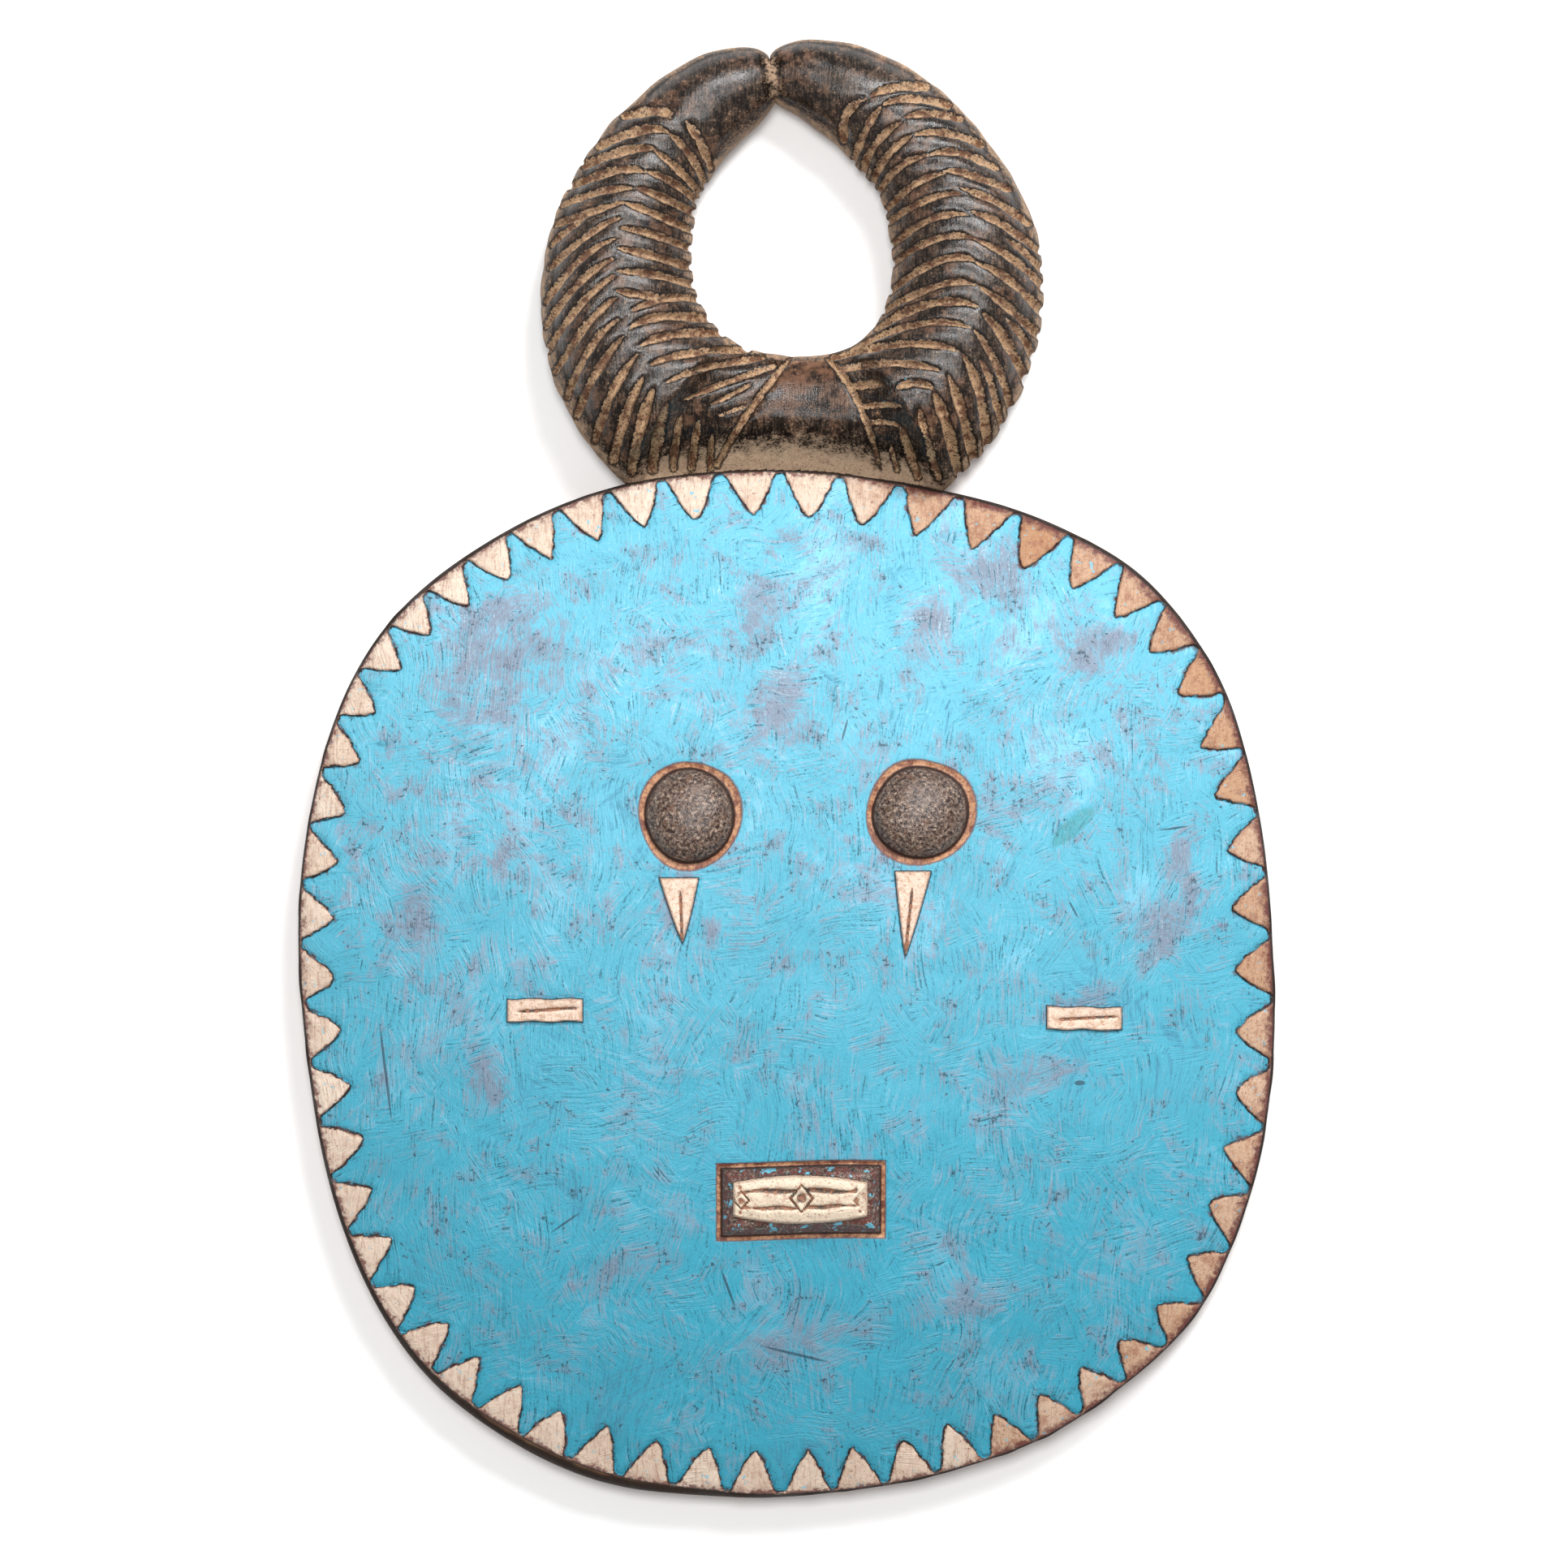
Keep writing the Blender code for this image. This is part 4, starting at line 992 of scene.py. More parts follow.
def horn_shell(face, horns):
    """Closed sweep round the ring, with its chevron cuts sunk along its normals, and the painter's fields."""
    rng = np.random.default_rng(SEED + 2)
    ring = HornRing(face, horns)
    points = ring.points
    reach = np.abs(ring.place)
    on_front = (ring.drop == 0) | (reach > 0.93)
    edge, deep = cut_fields(*seen_at(points + (*face_middle(face), 0.0)), rng)
    sink = horns.cut_depth * deep * (1 - 0.5 * soft_step(reach, 0.70, 1.0))
    sink += horns.rounding * np.exp(np.minimum(edge, 0) / CUT_SHOULDER)
    sink -= horns.rounding * 0.5
    lumps = LUMP * waves(points[..., 0], points[..., 1], rng, 14, 0.012, 0.040)
    lift = on_front * (lumps - sink) * np.clip(1.4 * ring.full, 0, 1)
    carved = points + ring.normals() * lift[..., None]

    ids = np.arange(edge.size).reshape(edge.shape)
    after = np.roll(ids, -1, axis=0)
    faces = np.stack((ids, np.roll(ids, -1, axis=1), np.roll(after, -1, axis=1), after), axis=-1)
    slots = np.where(np.broadcast_to(ring.drop > 0.93, ids.shape).ravel(), 1, 2)
    fields = {"cut": np.where(on_front, edge * PIXEL / MM, -9.0), "dust": ring.dust(), "panel": ring.panel()}
    fields = {name: values.ravel() for name, values in fields.items()}
    return carved.reshape(-1, 3), faces.reshape(-1, 4), slots, fields


def store_field(mesh, name, values):
    """Keep one number for each point of a mesh, for a material to read."""
    attribute = mesh.attributes.get(name) or mesh.attributes.new(name, "FLOAT", "POINT")
    attribute.data.foreach_set("value", np.asarray(values, dtype=np.float32))


def read_field(mesh, name):
    """The number kept for each point of a mesh."""
    values = np.zeros(len(mesh.vertices), dtype=np.float32)
    mesh.attributes[name].data.foreach_get("value", values)
    return values


def new_object(name, points, faces, slots, fields, kind):
    """Object of a mesh with a material slot for each face, and named fields on its points."""
    mesh = bpy.data.meshes.new(name)
    mesh.from_pydata(points.tolist(), [], [tuple(face) for face in faces])
    mesh.polygons.foreach_set("material_index", slots.astype(np.int32))
    for field, values in fields.items():
        store_field(mesh, field, values)
    store_field(mesh, "kind", np.full(len(points), kind))
    obj = bpy.data.objects.new(name, mesh)
    bpy.context.scene.collection.objects.link(obj)
    return obj


def mend_new_points(mesh, fields_of_kind):
    """Give the points that the union made the mean of each field over neighbours of the kind that has it."""
    kind = np.round(read_field(mesh, "kind"))
    edges = np.zeros(len(mesh.edges) * 2, dtype=np.int32)
    mesh.edges.foreach_get("vertices", edges)
    ends = edges.reshape(-1, 2)
    pairs = np.concatenate((ends, ends[:, ::-1]))
    pairs = pairs[kind[pairs[:, 0]] == 0]
    for wanted, names in fields_of_kind.items():
        use = pairs[kind[pairs[:, 1]] == wanted]
        count = np.bincount(use[:, 0], minlength=len(kind))
        found = count > 0
        for name in names:
            values = read_field(mesh, name)
            total = np.bincount(use[:, 0], weights=values[use[:, 1]], minlength=len(kind))
            values[found] = (total / np.maximum(count, 1))[found]
            store_field(mesh, name, values)


class Painter:
    """Short ways to add nodes to one material. Patterns lie in Object coordinates, in metres."""

    def __init__(self, name):
        self.material = bpy.data.materials.new(name)
        self.material.use_nodes = True
        self.tree = self.material.node_tree
        self.shader = self.tree.nodes["Principled BSDF"]
        self.place = self.node("ShaderNodeTexCoord").outputs["Object"]

    def node(self, kind, inputs=None, **settings):
        """New node with its settings, and its inputs set to values or linked to outputs."""
        made = self.tree.nodes.new(kind)
        for name, value in settings.items():
            setattr(made, name, value)
        for socket, value in (inputs or {}).items():
            if isinstance(value, bpy.types.NodeSocket):
                self.tree.links.new(value, made.inputs[socket])
            else:
                made.inputs[socket].default_value = value
        return made

    def field(self, name):
        """Number kept on the points of the mesh."""
        return self.node("ShaderNodeAttribute", attribute_name=name).outputs["Fac"]

    def math(self, way, first, second):
        """Sum, product or other operation on two numbers."""
        return self.node("ShaderNodeMath", {0: first, 1: second}, operation=way).outputs[0]

    def plus(self, first, second):
        """Sum of two numbers."""
        return self.math("ADD", first, second)

    def times(self, first, second):
        """Product of two numbers."""
        return self.math("MULTIPLY", first, second)

    def swing(self, pattern, reach):
        """A pattern's distance from its mean of one half, times a reach."""
        return self.times(self.math("SUBTRACT", pattern, 0.5), reach)

    def axis(self, number):
        """Place along one axis: 0 for X, 1 for Y and 2 for Z."""
        return self.node("ShaderNodeSeparateXYZ", {0: self.place}).outputs[number]

    def step(self, value, low, high, to_low=0.0, to_high=1.0):
        """Smooth step of a number from low to high."""
        inputs = {"Value": value, "From Min": low, "From Max": high, "To Min": to_low, "To Max": to_high}
        return self.node("ShaderNodeMapRange", inputs, interpolation_type="SMOOTHSTEP").outputs[0]

    def weigh(self, *parts):
        """Weighted sum of numbers."""
        total = self.times(*parts[0])
        for value, weight in parts[1:]:
            total = self.plus(total, self.times(value, weight))
        return total

    def blend(self, share, first, second):
        """Mix of two numbers."""
        return self.node("ShaderNodeMix", {0: share, 2: first, 3: second}, data_type="FLOAT").outputs[0]

    def mix(self, share, first, second):
        """Mix of two colours."""
        ends = [value if isinstance(value, bpy.types.NodeSocket) else (*value, 1.0)
                for value in (first, second)]
        return self.node("ShaderNodeMix", {0: share, 6: ends[0], 7: ends[1]}, data_type="RGBA").outputs[2]

    def stretched(self, size, turn=0.0, at=(0.0, 0.0, 0.0), place=None):
        """Coordinates moved to a place, turned about Z and divided by a size along each axis."""
        inputs = {"Vector": place or self.place, "Location": at, "Rotation": (0.0, 0.0, turn), "Scale": size}
        return self.node("ShaderNodeMapping", inputs, vector_type="TEXTURE").outputs[0]

    def noise(self, size, detail=2.0, roughness=0.5, turn=0.0, shift=0.0, place=None):
        """Cloudy noise with features of a size, which may differ along each axis."""
        size = size if isinstance(size, tuple) else (size, size, size)
        vector = self.stretched(size, turn, (shift, shift, shift), place)
        inputs = {"Vector": vector, "Scale": 1.0, "Detail": detail, "Roughness": roughness}
        return self.node("ShaderNodeTexNoise", inputs).outputs["Fac"]

    def spot(self, pixel, length_px, width_px, turn):
        """Oval mark over a pixel of the photograph, 1 at its middle and 0 at its edge."""
        x, y = photo_place(*pixel)
        size = (length_px * PIXEL / 2, width_px * PIXEL / 2, 10.0)
        vector = self.stretched(size, radians(turn), (x, y, 0.0))
        made = self.node("ShaderNodeTexGradient", {"Vector": vector}, gradient_type="SPHERICAL")
        return made.outputs["Fac"]

    def bump(self, height, strength, distance):
        """Bump for the shader's normal from a height."""
        inputs = {"Height": height, "Strength": strength, "Distance": distance}
        self.tree.links.new(self.node("ShaderNodeBump", inputs).outputs[0], self.shader.inputs["Normal"])

    def finish(self, colour, roughness):
        """Link the colour and the roughness to the shader."""
        self.tree.links.new(colour, self.shader.inputs["Base Color"])
        self.tree.links.new(roughness, self.shader.inputs["Roughness"])
        return self.material


# Marks on the blue, by pixel of the photograph: place, length, width, degrees from level
WORN_PATCHES = (
    ((1440, 1130), 150, 70, 55), ((1452, 1060), 110, 60, 80), ((1280, 1320), 190, 80, 10),
    ((1240, 700), 160, 90, 15), ((1150, 760), 120, 60, 70), ((930, 760), 120, 70, 80),
    ((1330, 1230), 140, 50, 20), ((620, 1060), 70, 34, 60), ((880, 1150), 60, 26, 80),
    ((760, 1560), 170, 60, 25), ((1180, 1600), 160, 60, 15), ((600, 1330), 120, 60, 85),
    ((620, 800), 300, 170, 60), ((520, 1120), 190, 90, 80), ((960, 880), 190, 100, 70),
    ((1000, 1640), 260, 90, 10), ((840, 1100), 100, 50, 75), ((1350, 800), 130, 80, 30),
)
PALE_STROKES = (
    ((1230, 1065), 80, 18, 60), ((690, 930), 150, 60, 80), ((1310, 930), 190, 110, 15),
    ((640, 760), 210, 90, 50), ((1390, 1110), 110, 40, 75), ((1150, 1130), 160, 50, 60),
    ((930, 1010), 110, 30, 75), ((560, 1040), 260, 60, 88), ((1260, 780), 150, 70, 50),
    ((1010, 720), 220, 90, 85), ((1270, 1160), 170, 34, 45),
)
SCRATCHES = (
    ((478, 1320), 170, 5, 97), ((898, 1580), 70, 5, 110), ((980, 1662), 120, 5, -14),
    ((1318, 1118), 34, 4, -62), ((1445, 1020), 50, 4, 8), ((1326, 1330), 20, 9, 0),
    ((1040, 900), 40, 4, 75), ((700, 1500), 60, 4, 35),
)
TEAL_SMEAR = ((1318, 1018), 96, 30, 42)
# Fleck of the face's blue on the right horn
BLUE_FLECK = ((1105, 490), 70, 50, 0)


def brushed(p, headings, size, patch, bend=0.024):
    """Brush strokes in several headings, one to a patch, on coordinates that a slow noise bends."""
    vector = p.stretched((0.05, 0.05, 0.05))
    drift = p.node("ShaderNodeTexNoise", {"Vector": vector, "Scale": 1.0, "Detail": 1.0}).outputs["Color"]
    bent = p.node("ShaderNodeVectorMath", {0: drift, 1: (bend, bend, 0.0), 2: p.place},
                  operation="MULTIPLY_ADD").outputs[0]
    strokes = p.noise(size, 3.0, 0.65, turn=radians(headings[0]), place=bent)
    for i, heading in enumerate(headings[1:]):
        here = p.step(p.noise(patch, 2.0, 0.6, shift=0.31 * (i + 1)), 0.47, 0.53)
        other = p.noise(size, 3.0, 0.65, turn=radians(heading), shift=0.017 * (i + 1), place=bent)
        strokes = p.blend(here, strokes, other)
    return strokes


def marks_of(p, marks):
    """The strongest of a list of oval marks at each place."""
    found = p.spot(*marks[0])
    for mark in marks[1:]:
        found = p.math("MAXIMUM", found, p.spot(*mark))
    return found


def blue_patterns(p):
    """Patterns of the blue: brush strokes, broad sweeps, upright grain, fine grain, clouds and blotches."""
    strokes = brushed(p, (62, 118, 12, 88), (0.0150, 0.0008, 0.01), 0.024)
    sweeps = brushed(p, (48, 100, 150), (0.0240, 0.0032, 0.01), 0.045, 0.040)
    grain = p.noise((0.0006, 0.012, 0.002), 4.0, 0.72)
    fine = p.noise(0.0012, 3.0, 0.75, shift=0.2)
    clouds = p.noise(0.045, 3.0, 0.55, shift=0.1)
    blotches = p.noise(0.0140, 5.0, 0.70, shift=0.7)
    return strokes, sweeps, grain, fine, clouds, blotches


def mottled_blue(p, paints, patterns, y, high):
    """Blue, darker low down as deeper paint and painted shade, with thin strokes of deeper blue, and strokes
    of pale paint that thin out low down as painted shade.
    """
    strokes, sweeps, _, _, clouds, _ = patterns
    # Darker towards the bottom: partly deeper paint, partly painted shade
    blue = p.mix(p.step(y, 0.13, -0.24), paints.blue, paints.deep_blue_and_shade)
    light = p.weigh((clouds, 0.36), (sweeps, 0.36), (strokes, 0.28))
    light = p.plus(light, p.times(marks_of(p, PALE_STROKES), 0.10))
    blue = p.mix(p.step(light, 0.45, 0.37, 0.0, 0.80), blue, paints.shade_blue)
    pale = p.step(light, 0.515, 0.60, 0.0, 0.80)
    # Pale strokes fade low down by high: painted shade
    return p.mix(p.times(pale, high), blue, paints.pale_blue)


def worn_blue(p, paints, blue, patterns, y, tooth):
    """Blue worn to its grey ground and rusty in patches, less so beside the teeth, with a smear of teal."""
    strokes, sweeps, _, fine, clouds, blotches = patterns
    worn = p.weigh((blotches, 0.38), (sweeps, 0.22), (strokes, 0.40))
    worn = p.plus(worn, p.times(marks_of(p, WORN_PATCHES), 0.115))
    worn = p.plus(worn, p.swing(clouds, 0.16))
    worn = p.math("SUBTRACT", worn, p.step(tooth, -7.0, -2.0, 0.0, 0.035))
    thin = p.times(p.step(worn, 0.490, 0.575, 0.0, 0.66), p.step(y, -0.22, 0.02, 0.55, 1.0))
    blue = p.mix(thin, blue, paints.ground)
    blue = p.mix(p.step(worn, 0.560, 0.630, 0.0, 0.50), blue, paints.rust)
    smear = p.plus(p.spot(*TEAL_SMEAR), p.times(fine, 0.4))
    return p.mix(p.step(smear, 0.42, 0.60, 0.0, 0.6), blue, paints.teal)


def specked_blue(p, paints, blue, patterns, high):
    """Blue with painted highlights on the crests of its brush marks, painted shade in the hollows between
    them, and cracks, pits and scratches.
    """
    strokes, _, grain, fine, clouds, blotches = patterns
    lit_crests = p.weigh((strokes, 0.62), (fine, 0.38))
    patchy = p.weigh((clouds, 0.4), (p.noise(0.020, 3.0, 0.6, shift=0.93), 0.6))
    rough = p.step(patchy, 0.42, 0.58, 0.35, 1.0)
    # Painted highlight: pale crests of the brush marks, fading low down
    crest_highlight = p.times(p.step(lit_crests, 0.555, 0.63, 0.0, 0.60), rough)
    blue = p.mix(p.times(crest_highlight, high), blue, paints.lit_crests)
    # Painted shade: dark hollows between the brush marks
    hollow = p.step(lit_crests, 0.450, 0.385, 0.0, 0.80)
    blue = p.mix(p.times(hollow, rough), blue, paints.crack_and_hollow_shade)
    streak = p.weigh((grain, 0.60), (blotches, 0.40))
    blue = p.mix(p.step(streak, 0.565, 0.64, 0.0, 0.60), blue, paints.crack_and_hollow_shade)
    pits = p.weigh((p.noise(0.0019, 2.0, 0.6, shift=0.66), 0.6), (blotches, 0.4))
    blue = p.mix(p.step(pits, 0.600, 0.65, 0.0, 0.80), blue, paints.crack_and_hollow_shade)
    scratch = p.plus(marks_of(p, SCRATCHES), p.times(fine, 0.3))
    return p.mix(p.step(scratch, 0.35, 0.6, 0.0, 0.8), blue, paints.crack_and_hollow_shade)


def blue_paint(p, paints, tooth):
    """Blue of the face, and the height of its brush marks for the bump."""
    patterns = blue_patterns(p)
    y = p.axis(1)
    # high: share of pale strokes and painted highlights, less low on the face as painted shade
    high = p.step(y, -0.20, 0.10, 0.25, 1.0)
    blue = mottled_blue(p, paints, patterns, y, high)
    blue = worn_blue(p, paints, blue, patterns, y, tooth)
    blue = specked_blue(p, paints, blue, patterns, high)
    strokes, sweeps, grain, fine, _, _ = patterns
    return blue, p.weigh((strokes, 0.80), (fine, 0.25), (grain, 0.25), (sweeps, 0.60))


def tooth_dye(p, paints, tooth, inset, fine, mottle):
    """Dye of the teeth: cream or tan, mottled, specked, and dirty along the rim and the edges."""
    dye = p.mix(p.field("tone"), paints.cream, paints.tan)
    blots = p.noise(0.0060, 4.0, 0.65, shift=0.61)
    brush = p.noise((0.0009, 0.009, 0.004), 3.0, 0.65, shift=0.23)
    soiled = p.step(p.field("tone"), 0.1, 0.8, 0.30, 1.0)
    stains = p.weigh((blots, 0.55), (mottle, 0.45))
    dye = p.mix(p.times(p.step(stains, 0.47, 0.60, 0.0, 0.70), soiled), dye, paints.bare)
    dye = p.mix(p.step(brush, 0.53, 0.64, 0.0, 0.40), dye, paints.bare)
    dye = p.mix(p.times(p.step(fine, 0.54, 0.66, 0.0, 0.70), soiled), dye, paints.bare)
    dye = p.mix(p.step(fine, 0.63, 0.69, 0.0, 0.75), dye, paints.wine)
    dye = p.mix(p.step(p.noise(0.0035, 3.0, 0.75, shift=0.53), 0.645, 0.665, 0.0, 0.8), dye, paints.blue)
    smear = p.noise((0.0030, 0.0030, 0.0030), 4.0, 0.7, shift=0.37)
    dirt = p.plus(inset, p.times(smear, 11.0))
    dye = p.mix(p.times(p.step(dirt, 10.2, 6.2, 0.0, 0.90), soiled), dye, paints.wine)
    dye = p.mix(p.step(dirt, 7.6, 6.0, 0.0, 0.80), dye, paints.wine)
    edge = p.plus(tooth, p.times(smear, 3.6))
    dye = p.mix(p.step(edge, 3.3, 1.6, 0.0, 0.70), dye, paints.bare)
    dye = p.mix(p.step(edge, 2.3, 1.3, 0.0, 0.75), dye, paints.wine)
    return dye


def teeth_and_rim(p, paints, blue, tooth, inset, fine, mottle):
    """Dyed teeth over the blue, a broken dark line and smudges round them, and a black band at the rim's front
    edge as painted shade.
    """
    colour = p.mix(p.step(tooth, -0.05, 0.20), blue, tooth_dye(p, paints, tooth, inset, fine, mottle))
    broken = p.step(p.noise(0.0045, 3.0, 0.65, shift=0.15), 0.36, 0.50, 0.45, 0.98)
    line = p.times(p.step(tooth, -0.75, -0.20), p.step(tooth, 0.62, 0.12))
    colour = p.mix(p.times(line, broken), colour, paints.outline)
    smudge = p.times(p.step(tooth, -1.9, -0.5), p.step(tooth, 0.0, -0.3))
    smudge = p.times(smudge, p.step(p.noise(0.006, 3.0, 0.7, shift=0.77), 0.54, 0.62, 0.0, 0.8))
    colour = p.mix(smudge, colour, paints.wine)
    # Painted shade: black band along the front's edge
    return p.mix(p.step(inset, 0.9, 0.2, 0.0, 0.96), colour, paints.edge)


def dyed_pads(p, paints, colour, ragged, fine, mottle):
    """Wedges and cheek bars over a colour: pale dye with brown grain, in a dark line."""
    pad = p.plus(p.field("cream"), p.times(ragged, 0.45))
    dye = p.mix(p.step(mottle, 0.46, 0.66, 0.0, 0.60), paints.pad, paints.tan)
    dye = p.mix(p.step(fine, 0.54, 0.66, 0.0, 0.65), dye, paints.bare)
    dye = p.mix(p.step(pad, 1.3, 0.3, 0.0, 0.45), dye, paints.bare)
    colour = p.mix(p.step(pad, 0.0, 0.25), colour, dye)
    line = p.times(p.step(pad, -0.50, -0.10), p.step(pad, 0.35, 0.05))
    return p.mix(p.times(line, 0.85), colour, paints.outline)


def waxed_bosses(p, paints, colour, boss, pitted, fine, mottle):
    """Eyes and block of the mouth over a colour: pitted dark wax in a ring of bare wood, lined in red."""
    bare = p.mix(p.step(mottle, 0.44, 0.58), paints.ring, paints.bare)
    bare = p.mix(p.step(p.noise(0.007, 3.0, 0.6, shift=0.29), 0.50, 0.60, 0.0, 0.7), bare, paints.wine)
    bare = p.mix(p.step(fine, 0.56, 0.66, 0.0, 0.6), bare, paints.wine)
    colour = p.mix(p.step(boss, -1.10, -0.95), colour, bare)
    line = p.times(p.step(boss, -1.30, -1.08), p.step(boss, -0.84, -1.02))
    colour = p.mix(p.times(line, 0.7), colour, paints.wine)
    dark = p.mix(p.step(pitted, 0.40, 0.56), paints.outline, paints.boss)
    dark = p.mix(p.step(mottle, 0.50, 0.66, 0.0, 0.6), dark, paints.red_wax)
    dark = p.mix(p.step(pitted, 0.59, 0.66, 0.0, 0.45), dark, paints.pad)
    colour = p.mix(p.step(boss, -0.42, -0.14), colour, paints.outline)
    return p.mix(p.step(boss, 0.0, 0.9), colour, dark)


def dyed_lips(p, paints, colour, boss, lip, fine, mottle):
    """Slope of the mouth's block, red and chipped blue, its pale lips, and dark paint in grooves and cuts."""
    is_mouth = p.step(p.axis(1), -0.12, -0.14)
    on_slope = p.times(p.step(boss, 0.0, 1.0), p.step(lip, 0.0, -0.4))
    red = p.times(p.step(mottle, 0.44, 0.56, 0.0, 0.8), p.times(is_mouth, on_slope))
    colour = p.mix(red, colour, paints.wine)
    chipped = p.times(p.step(p.noise(0.0048, 3.0, 0.6, shift=0.83), 0.60, 0.64, 0.0, 0.85), on_slope)
    colour = p.mix(p.times(chipped, is_mouth), colour, paints.blue)
    dye = p.mix(p.step(mottle, 0.44, 0.64, 0.0, 0.75), paints.lip, paints.pad)
    dye = p.mix(p.step(fine, 0.53, 0.66, 0.0, 0.70), dye, paints.bare)
    dye = p.mix(p.step(lip, 1.6, 0.2, 0.0, 0.55), dye, paints.bare)
    colour = p.mix(p.step(lip, 0.0, 0.3), colour, dye)
    furrow = p.step(p.plus(p.field("furrow"), p.times(mottle, 1.3)), 0.88, 1.32, 0.0, 0.94)
    return p.mix(furrow, colour, p.mix(p.step(mottle, 0.42, 0.56), paints.outline, paints.bare))


def painted_face(paints):
    """Front of the face: brushed blue over a grey ground, and teeth, pads, eyes and mouth by their fields."""
    p = Painter("painted_wood")
    fine = p.noise(0.0011, 3.0, 0.75, shift=0.2)
    mottle = p.noise(0.0026, 4.0, 0.7, shift=0.9)
    wander = p.swing(p.noise(0.0050, 2.0, 0.5, shift=0.44), 2.6)
    ragged = p.swing(p.noise(0.0014, 3.0, 0.65, shift=0.5), 1.4)
    tooth = p.plus(p.plus(p.field("tooth"), ragged), wander)
    inset = p.plus(p.field("inset"), p.times(ragged, 0.6))
    boss = p.plus(p.field("boss"), p.times(ragged, 0.20))
    lip = p.plus(p.field("lip"), p.times(ragged, 0.6))
    pitted = p.noise(0.0014, 3.0, 0.75, shift=0.6)
    blue, relief = blue_paint(p, paints, tooth)
    colour = teeth_and_rim(p, paints, blue, tooth, inset, fine, mottle)
    colour = dyed_pads(p, paints, colour, ragged, fine, mottle)
    colour = waxed_bosses(p, paints, colour, boss, pitted, fine, mottle)
    colour = dyed_lips(p, paints, colour, boss, lip, fine, mottle)
    waxy = p.times(p.step(boss, 0.0, 0.5), p.step(lip, 0.2, -0.2))
    roughness = p.plus(p.step(waxy, 0.0, 1.0, 0.48, 0.20), p.swing(fine, 0.5))
    p.bump(p.blend(waxy, relief, p.times(pitted, 0.65)), 1.0, 0.0007)
    return p.finish(colour, roughness)


def waxed_horn(paints):
    """Horns: dark wax over upright grain, bare tan cuts with painted shade along their edges, and dust by the
    face and sides.
    """
    p = Painter("waxed_horn")
    grain = p.noise((0.0007, 0.007, 0.004), 4.0, 0.72)
    fine = p.noise(0.0010, 3.0, 0.78, shift=0.2)
    blots = p.noise(0.0050, 4.0, 0.70, shift=0.9)
    clouds = p.noise(0.018, 3.0, 0.6, shift=0.5)
    tone = p.weigh((grain, 0.40), (fine, 0.25), (blots, 0.35))
    wax = p.mix(p.step(tone, 0.45, 0.60), paints.black_wax_and_shade, paints.wax)
    wax = p.mix(p.step(p.weigh((clouds, 0.5), (blots, 0.5)), 0.50, 0.62, 0.0, 0.45), wax, paints.red_wax)
    wax = p.mix(p.step(p.weigh((fine, 0.7), (blots, 0.3)), 0.58, 0.66, 0.0, 0.60), wax, paints.cut)
    warm = p.step(p.weigh((clouds, 0.4), (blots, 0.6)), 0.40, 0.56, 0.0, 0.95)
    wax = p.mix(p.times(p.field("panel"), warm), wax, paints.red_wax)
    dusty = p.plus(p.field("dust"), p.swing(blots, 1.3))
    dusty = p.plus(dusty, p.swing(fine, 1.8))
    dust = p.mix(p.step(fine, 0.48, 0.64, 0.0, 0.60), paints.dust, paints.red_wax)
    wax = p.mix(p.step(dusty, 0.30, 0.95, 0.0, 0.92), wax, dust)
    ragged = p.swing(p.noise(0.0016, 3.0, 0.7, shift=0.8), 2.2)
    cut = p.plus(p.field("cut"), ragged)
    floor = p.mix(p.step(blots, 0.46, 0.60), paints.cut, paints.red_wax)
    floor = p.mix(p.step(fine, 0.48, 0.62, 0.0, 0.8), floor, paints.wax)
    floor = p.mix(p.step(fine, 0.59, 0.65, 0.0, 0.9), floor, paints.black_wax_and_shade)
    colour = p.mix(p.step(cut, -0.42, -0.08), wax, floor)
    # Painted shade: black lines along both edges of each cut
    line = p.times(p.step(cut, -1.30, -0.50), p.step(cut, 0.05, -0.35))
    colour = p.mix(p.times(line, 0.90), colour, paints.black_wax_and_shade)
    fleck = p.times(p.step(p.spot(*BLUE_FLECK), 0.0, 0.3), p.step(fine, 0.64, 0.67))
    colour = p.mix(fleck, colour, paints.blue)
    matt = p.math("MAXIMUM", p.step(cut, -0.5, 0.0), p.step(dusty, 0.2, 0.8))
    roughness = p.step(matt, 0.0, 1.0, 0.22, 0.75)
    roughness = p.plus(roughness, p.swing(blots, 0.6))
    y = p.axis(1)
    clear_of_face = p.math("MAXIMUM", p.field("panel"), p.step(y, 0.130, 0.165, 0.10, 1.0))
    shine = p.times(p.step(p.field("dust"), 0.0, 0.22, 0.48, 0.05), clear_of_face)
    p.tree.links.new(shine, p.shader.inputs["Specular IOR Level"])
    relief = p.weigh((grain, 0.8), (fine, 0.4), (blots, 0.8))
    p.bump(relief, 1.0, 0.00020)
    return p.finish(colour, roughness)


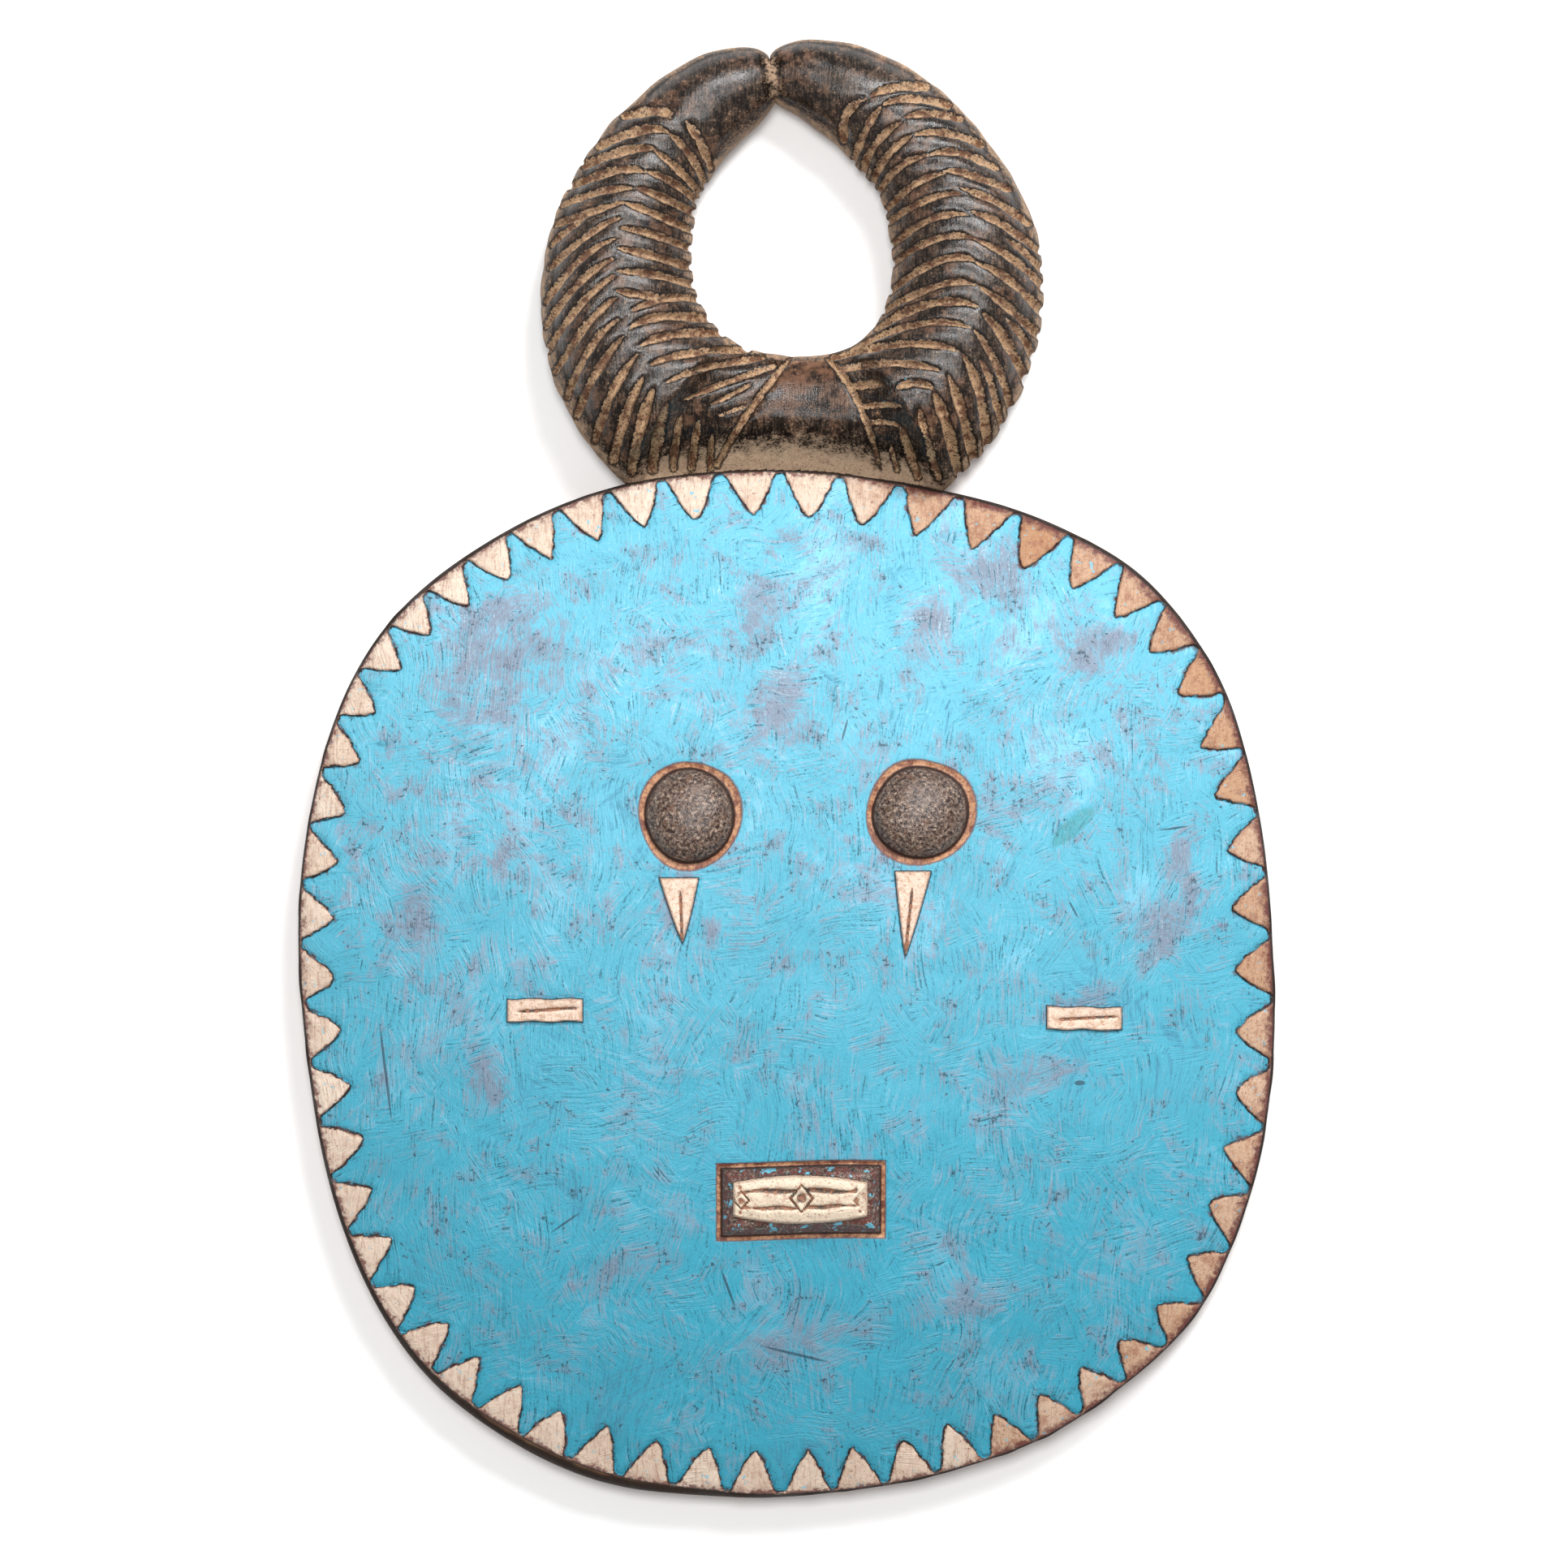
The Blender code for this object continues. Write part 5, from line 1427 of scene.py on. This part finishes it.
def bare_wood(paints):
    """Side and back: unpainted wood with upright grain, its upper sides painted nearly black as shade."""
    p = Painter("bare_wood")
    grain = p.noise((0.0011, 0.030, 0.006), 4.0, 0.65)
    clouds = p.noise(0.030, 3.0, 0.55, shift=0.4)
    fine = p.noise(0.0012, 3.0, 0.7, shift=0.2)
    colour = p.mix(p.step(grain, 0.35, 0.65), paints.raw, paints.bare)
    colour = p.mix(p.step(clouds, 0.45, 0.70, 0.0, 0.7), colour, paints.red_wax)
    colour = p.mix(p.step(fine, 0.60, 0.74, 0.0, 0.5), colour, paints.wax)
    z = p.axis(2)
    # Painted shade: near-black over the upper part of the side
    side_shade = p.step(p.plus(z, p.swing(clouds, 0.006)), 0.010, 0.0165)
    face_side = p.step(z, 0.024, 0.022)
    colour = p.mix(p.times(p.times(side_shade, face_side), 0.94), colour, paints.edge)
    roughness = p.plus(p.times(grain, 0.2), 0.62)
    p.shader.inputs["Specular IOR Level"].default_value = 0.2
    p.bump(p.weigh((grain, 0.7), (fine, 0.3)), 0.6, 0.0010)
    return p.finish(colour, roughness)


class MASK_OT_carve_face(bpy.types.Operator):
    """Carve the domed face with its border of teeth, eyes, wedges, cheek bars, mouth and hollow back"""
    bl_idname = "mask.carve_face"
    bl_label = "Carve face"

    def execute(self, context):
        """Make the face as one closed shell, in its place in the frame."""
        face = context.scene.mask_face
        points, faces, slots, fields = face_shell(face)
        points = points + (*face_middle(face), 0.0)
        fields |= {name: np.zeros(len(points)) for name in FIELDS_OF_HORNS}
        new_object("carved_mask", points, faces, slots, fields, 1)
        return {"FINISHED"}


def union(mask, ring, context):
    """Mesh of the one block that two closed shells make together."""
    join = mask.modifiers.new("one block", "BOOLEAN")
    join.operation = "UNION"
    join.solver = "MANIFOLD"
    join.object = ring
    whole = bpy.data.meshes.new_from_object(mask.evaluated_get(context.evaluated_depsgraph_get()))
    if len(whole.vertices) <= len(mask.data.vertices):
        raise RuntimeError("the union of the face and the horns failed")
    mask.modifiers.clear()
    return whole


class MASK_OT_carve_horns(bpy.types.Operator):
    """Carve the two ringed horns that meet over the face"""
    bl_idname = "mask.carve_horns"
    bl_label = "Carve horns"

    def execute(self, context):
        """Make the ring of horns and join it to the face, as the one block of wood that they are."""
        face, horns = context.scene.mask_face, context.scene.mask_horns
        points, faces, slots, fields = horn_shell(face, horns)
        points = points + (*face_middle(face), 0.0)
        fields |= {name: np.zeros(len(points)) for name in FIELDS_OF_FACE}
        mask = bpy.data.objects["carved_mask"]
        ring = new_object("horn_ring", points, faces, slots, fields, 2)
        for obj in (mask, ring):
            for name in FINISHES:
                obj.data.materials.append(bpy.data.materials.get(name) or bpy.data.materials.new(name))
        whole = union(mask, ring, context)
        mask.data = whole
        bpy.data.objects.remove(ring, do_unlink=True)
        mend_new_points(whole, {1: FIELDS_OF_FACE, 2: FIELDS_OF_HORNS})
        whole.shade_smooth()
        whole.set_sharp_from_angle(angle=radians(55))
        whole.name = "carved_mask"
        return {"FINISHED"}


class MASK_OT_paint(bpy.types.Operator):
    """Paint the face, wax the horns and leave the back bare"""
    bl_idname = "mask.paint"
    bl_label = "Paint and wax"

    def execute(self, context):
        """Put the three finishes on the mask, and say what it stands for in the frame."""
        paints = context.scene.mask_paints
        mask = bpy.data.objects["carved_mask"]
        for old in list(bpy.data.materials):
            if old.name in FINISHES:
                old.name = "plain_" + old.name
        for i, finish in enumerate((painted_face(paints), bare_wood(paints), waxed_horn(paints))):
            mask.data.materials[i] = finish
        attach(mask, "root")
        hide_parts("mask")
        return {"FINISHED"}


def area_light(name, place, target, size, power):
    """Square soft light at a place, turned to a target."""
    light = bpy.data.lights.new(name, "AREA")
    light.size = size
    light.energy = power
    obj = bpy.data.objects.new(name, light)
    obj.location = place
    towards = np.subtract(target, place)
    flat = np.hypot(towards[0], towards[1])
    obj.rotation_euler = (np.arctan2(flat, -towards[2]), 0.0, np.arctan2(towards[1], towards[0]) - pi / 2)
    bpy.context.scene.collection.objects.link(obj)


def make_floor(scene, stage):
    """Wide pale floor just under the mask, which glows a little."""
    corners = [(x * FLOOR_HALF, y * FLOOR_HALF, FLOOR_LEVEL) for x, y in ((-1, -1), (1, -1), (1, 1), (-1, 1))]
    mesh = bpy.data.meshes.new("floor")
    mesh.from_pydata(corners, [], [(0, 1, 2, 3)])
    floor = bpy.data.objects.new("floor", mesh)
    scene.collection.objects.link(floor)
    p = Painter("floor")
    p.shader.inputs["Base Color"].default_value = (*stage.floor, 1.0)
    p.shader.inputs["Roughness"].default_value = 0.9
    p.shader.inputs["Specular IOR Level"].default_value = 0.0
    p.shader.inputs["Emission Color"].default_value = (1.0, 1.0, 1.0, 1.0)
    p.shader.inputs["Emission Strength"].default_value = stage.glow
    mesh.materials.append(p.material)


def make_sky(scene, stage):
    """Even white light from all round."""
    world = bpy.data.worlds.new("even light")
    world.use_nodes = True
    world.node_tree.nodes["Background"].inputs["Color"].default_value = (1.0, 1.0, 1.0, 1.0)
    world.node_tree.nodes["Background"].inputs["Strength"].default_value = stage.sky
    scene.world = world


def make_camera(scene, stage):
    """Camera straight over the photograph's middle, whose view is the photograph's width at the rim."""
    camera = bpy.data.objects.new("camera", bpy.data.cameras.new("camera"))
    x, y = photo_place(*PHOTO_MIDDLE)
    camera.location = (x, y, RIM_LEVEL + stage.distance)
    camera.data.sensor_width = SENSOR
    camera.data.lens = SENSOR * stage.distance / (PHOTO_WIDTH * PIXEL)
    camera.data.clip_end = 20.0
    scene.collection.objects.link(camera)
    scene.camera = camera


class MASK_OT_stage(bpy.types.Operator):
    """Set the pale floor, the soft lights and the camera that looks down on the mask"""
    bl_idname = "mask.stage"
    bl_label = "Set the stage"

    def execute(self, context):
        """Make the floor, the sky, two soft lights and the camera."""
        stage = context.scene.mask_stage
        make_floor(context.scene, stage)
        make_sky(context.scene, stage)
        area_light("key", *KEY_LIGHT, stage.key)
        area_light("overhead", *OVERHEAD_LIGHT, stage.overhead)
        make_camera(context.scene, stage)
        context.scene.view_settings.view_transform = "Standard"
        context.scene.view_settings.look = "None"
        return {"FINISHED"}


class MASK_PT_sidebar(bpy.types.Panel):
    """Sidebar panel of the mask"""
    bl_idname = "MASK_PT_sidebar"
    bl_label = "Carved Face Mask"
    bl_space_type = "VIEW_3D"
    bl_region_type = "UI"
    bl_category = "Mask"

    def draw(self, context):
        """List each step with the sizes or colours that it reads."""
        scene = context.scene
        steps = (("mask.carve_face", scene.mask_face), ("mask.carve_horns", scene.mask_horns),
                 ("mask.paint", scene.mask_paints), ("mask.stage", scene.mask_stage))
        for operator, settings in steps:
            self.layout.operator(operator)
            box = self.layout.box()
            for name in settings.__annotations__:
                box.prop(settings, name)


CLASSES = (MaskFaceSizes, MaskHornSizes, MaskPaints, MaskStageSettings, MASK_OT_carve_face,
           MASK_OT_carve_horns, MASK_OT_paint, MASK_OT_stage, MASK_PT_sidebar)
SETTINGS = {"mask_face": MaskFaceSizes, "mask_horns": MaskHornSizes, "mask_paints": MaskPaints,
            "mask_stage": MaskStageSettings}


def register():
    """Register the classes and hang their settings on the scene."""
    for cls in CLASSES:
        bpy.utils.register_class(cls)
    for name, group in SETTINGS.items():
        setattr(bpy.types.Scene, name, bpy.props.PointerProperty(type=group))


def unregister():
    """Take the settings and the classes away again."""
    for name in SETTINGS:
        delattr(bpy.types.Scene, name)
    for cls in reversed(CLASSES):
        bpy.utils.unregister_class(cls)


def main():
    """Carve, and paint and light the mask."""
    register()
    bpy.ops.mask.stage()
    bpy.ops.mask.carve_face()
    bpy.ops.mask.carve_horns()
    bpy.ops.mask.paint()


if __name__ == "__main__":
    main()
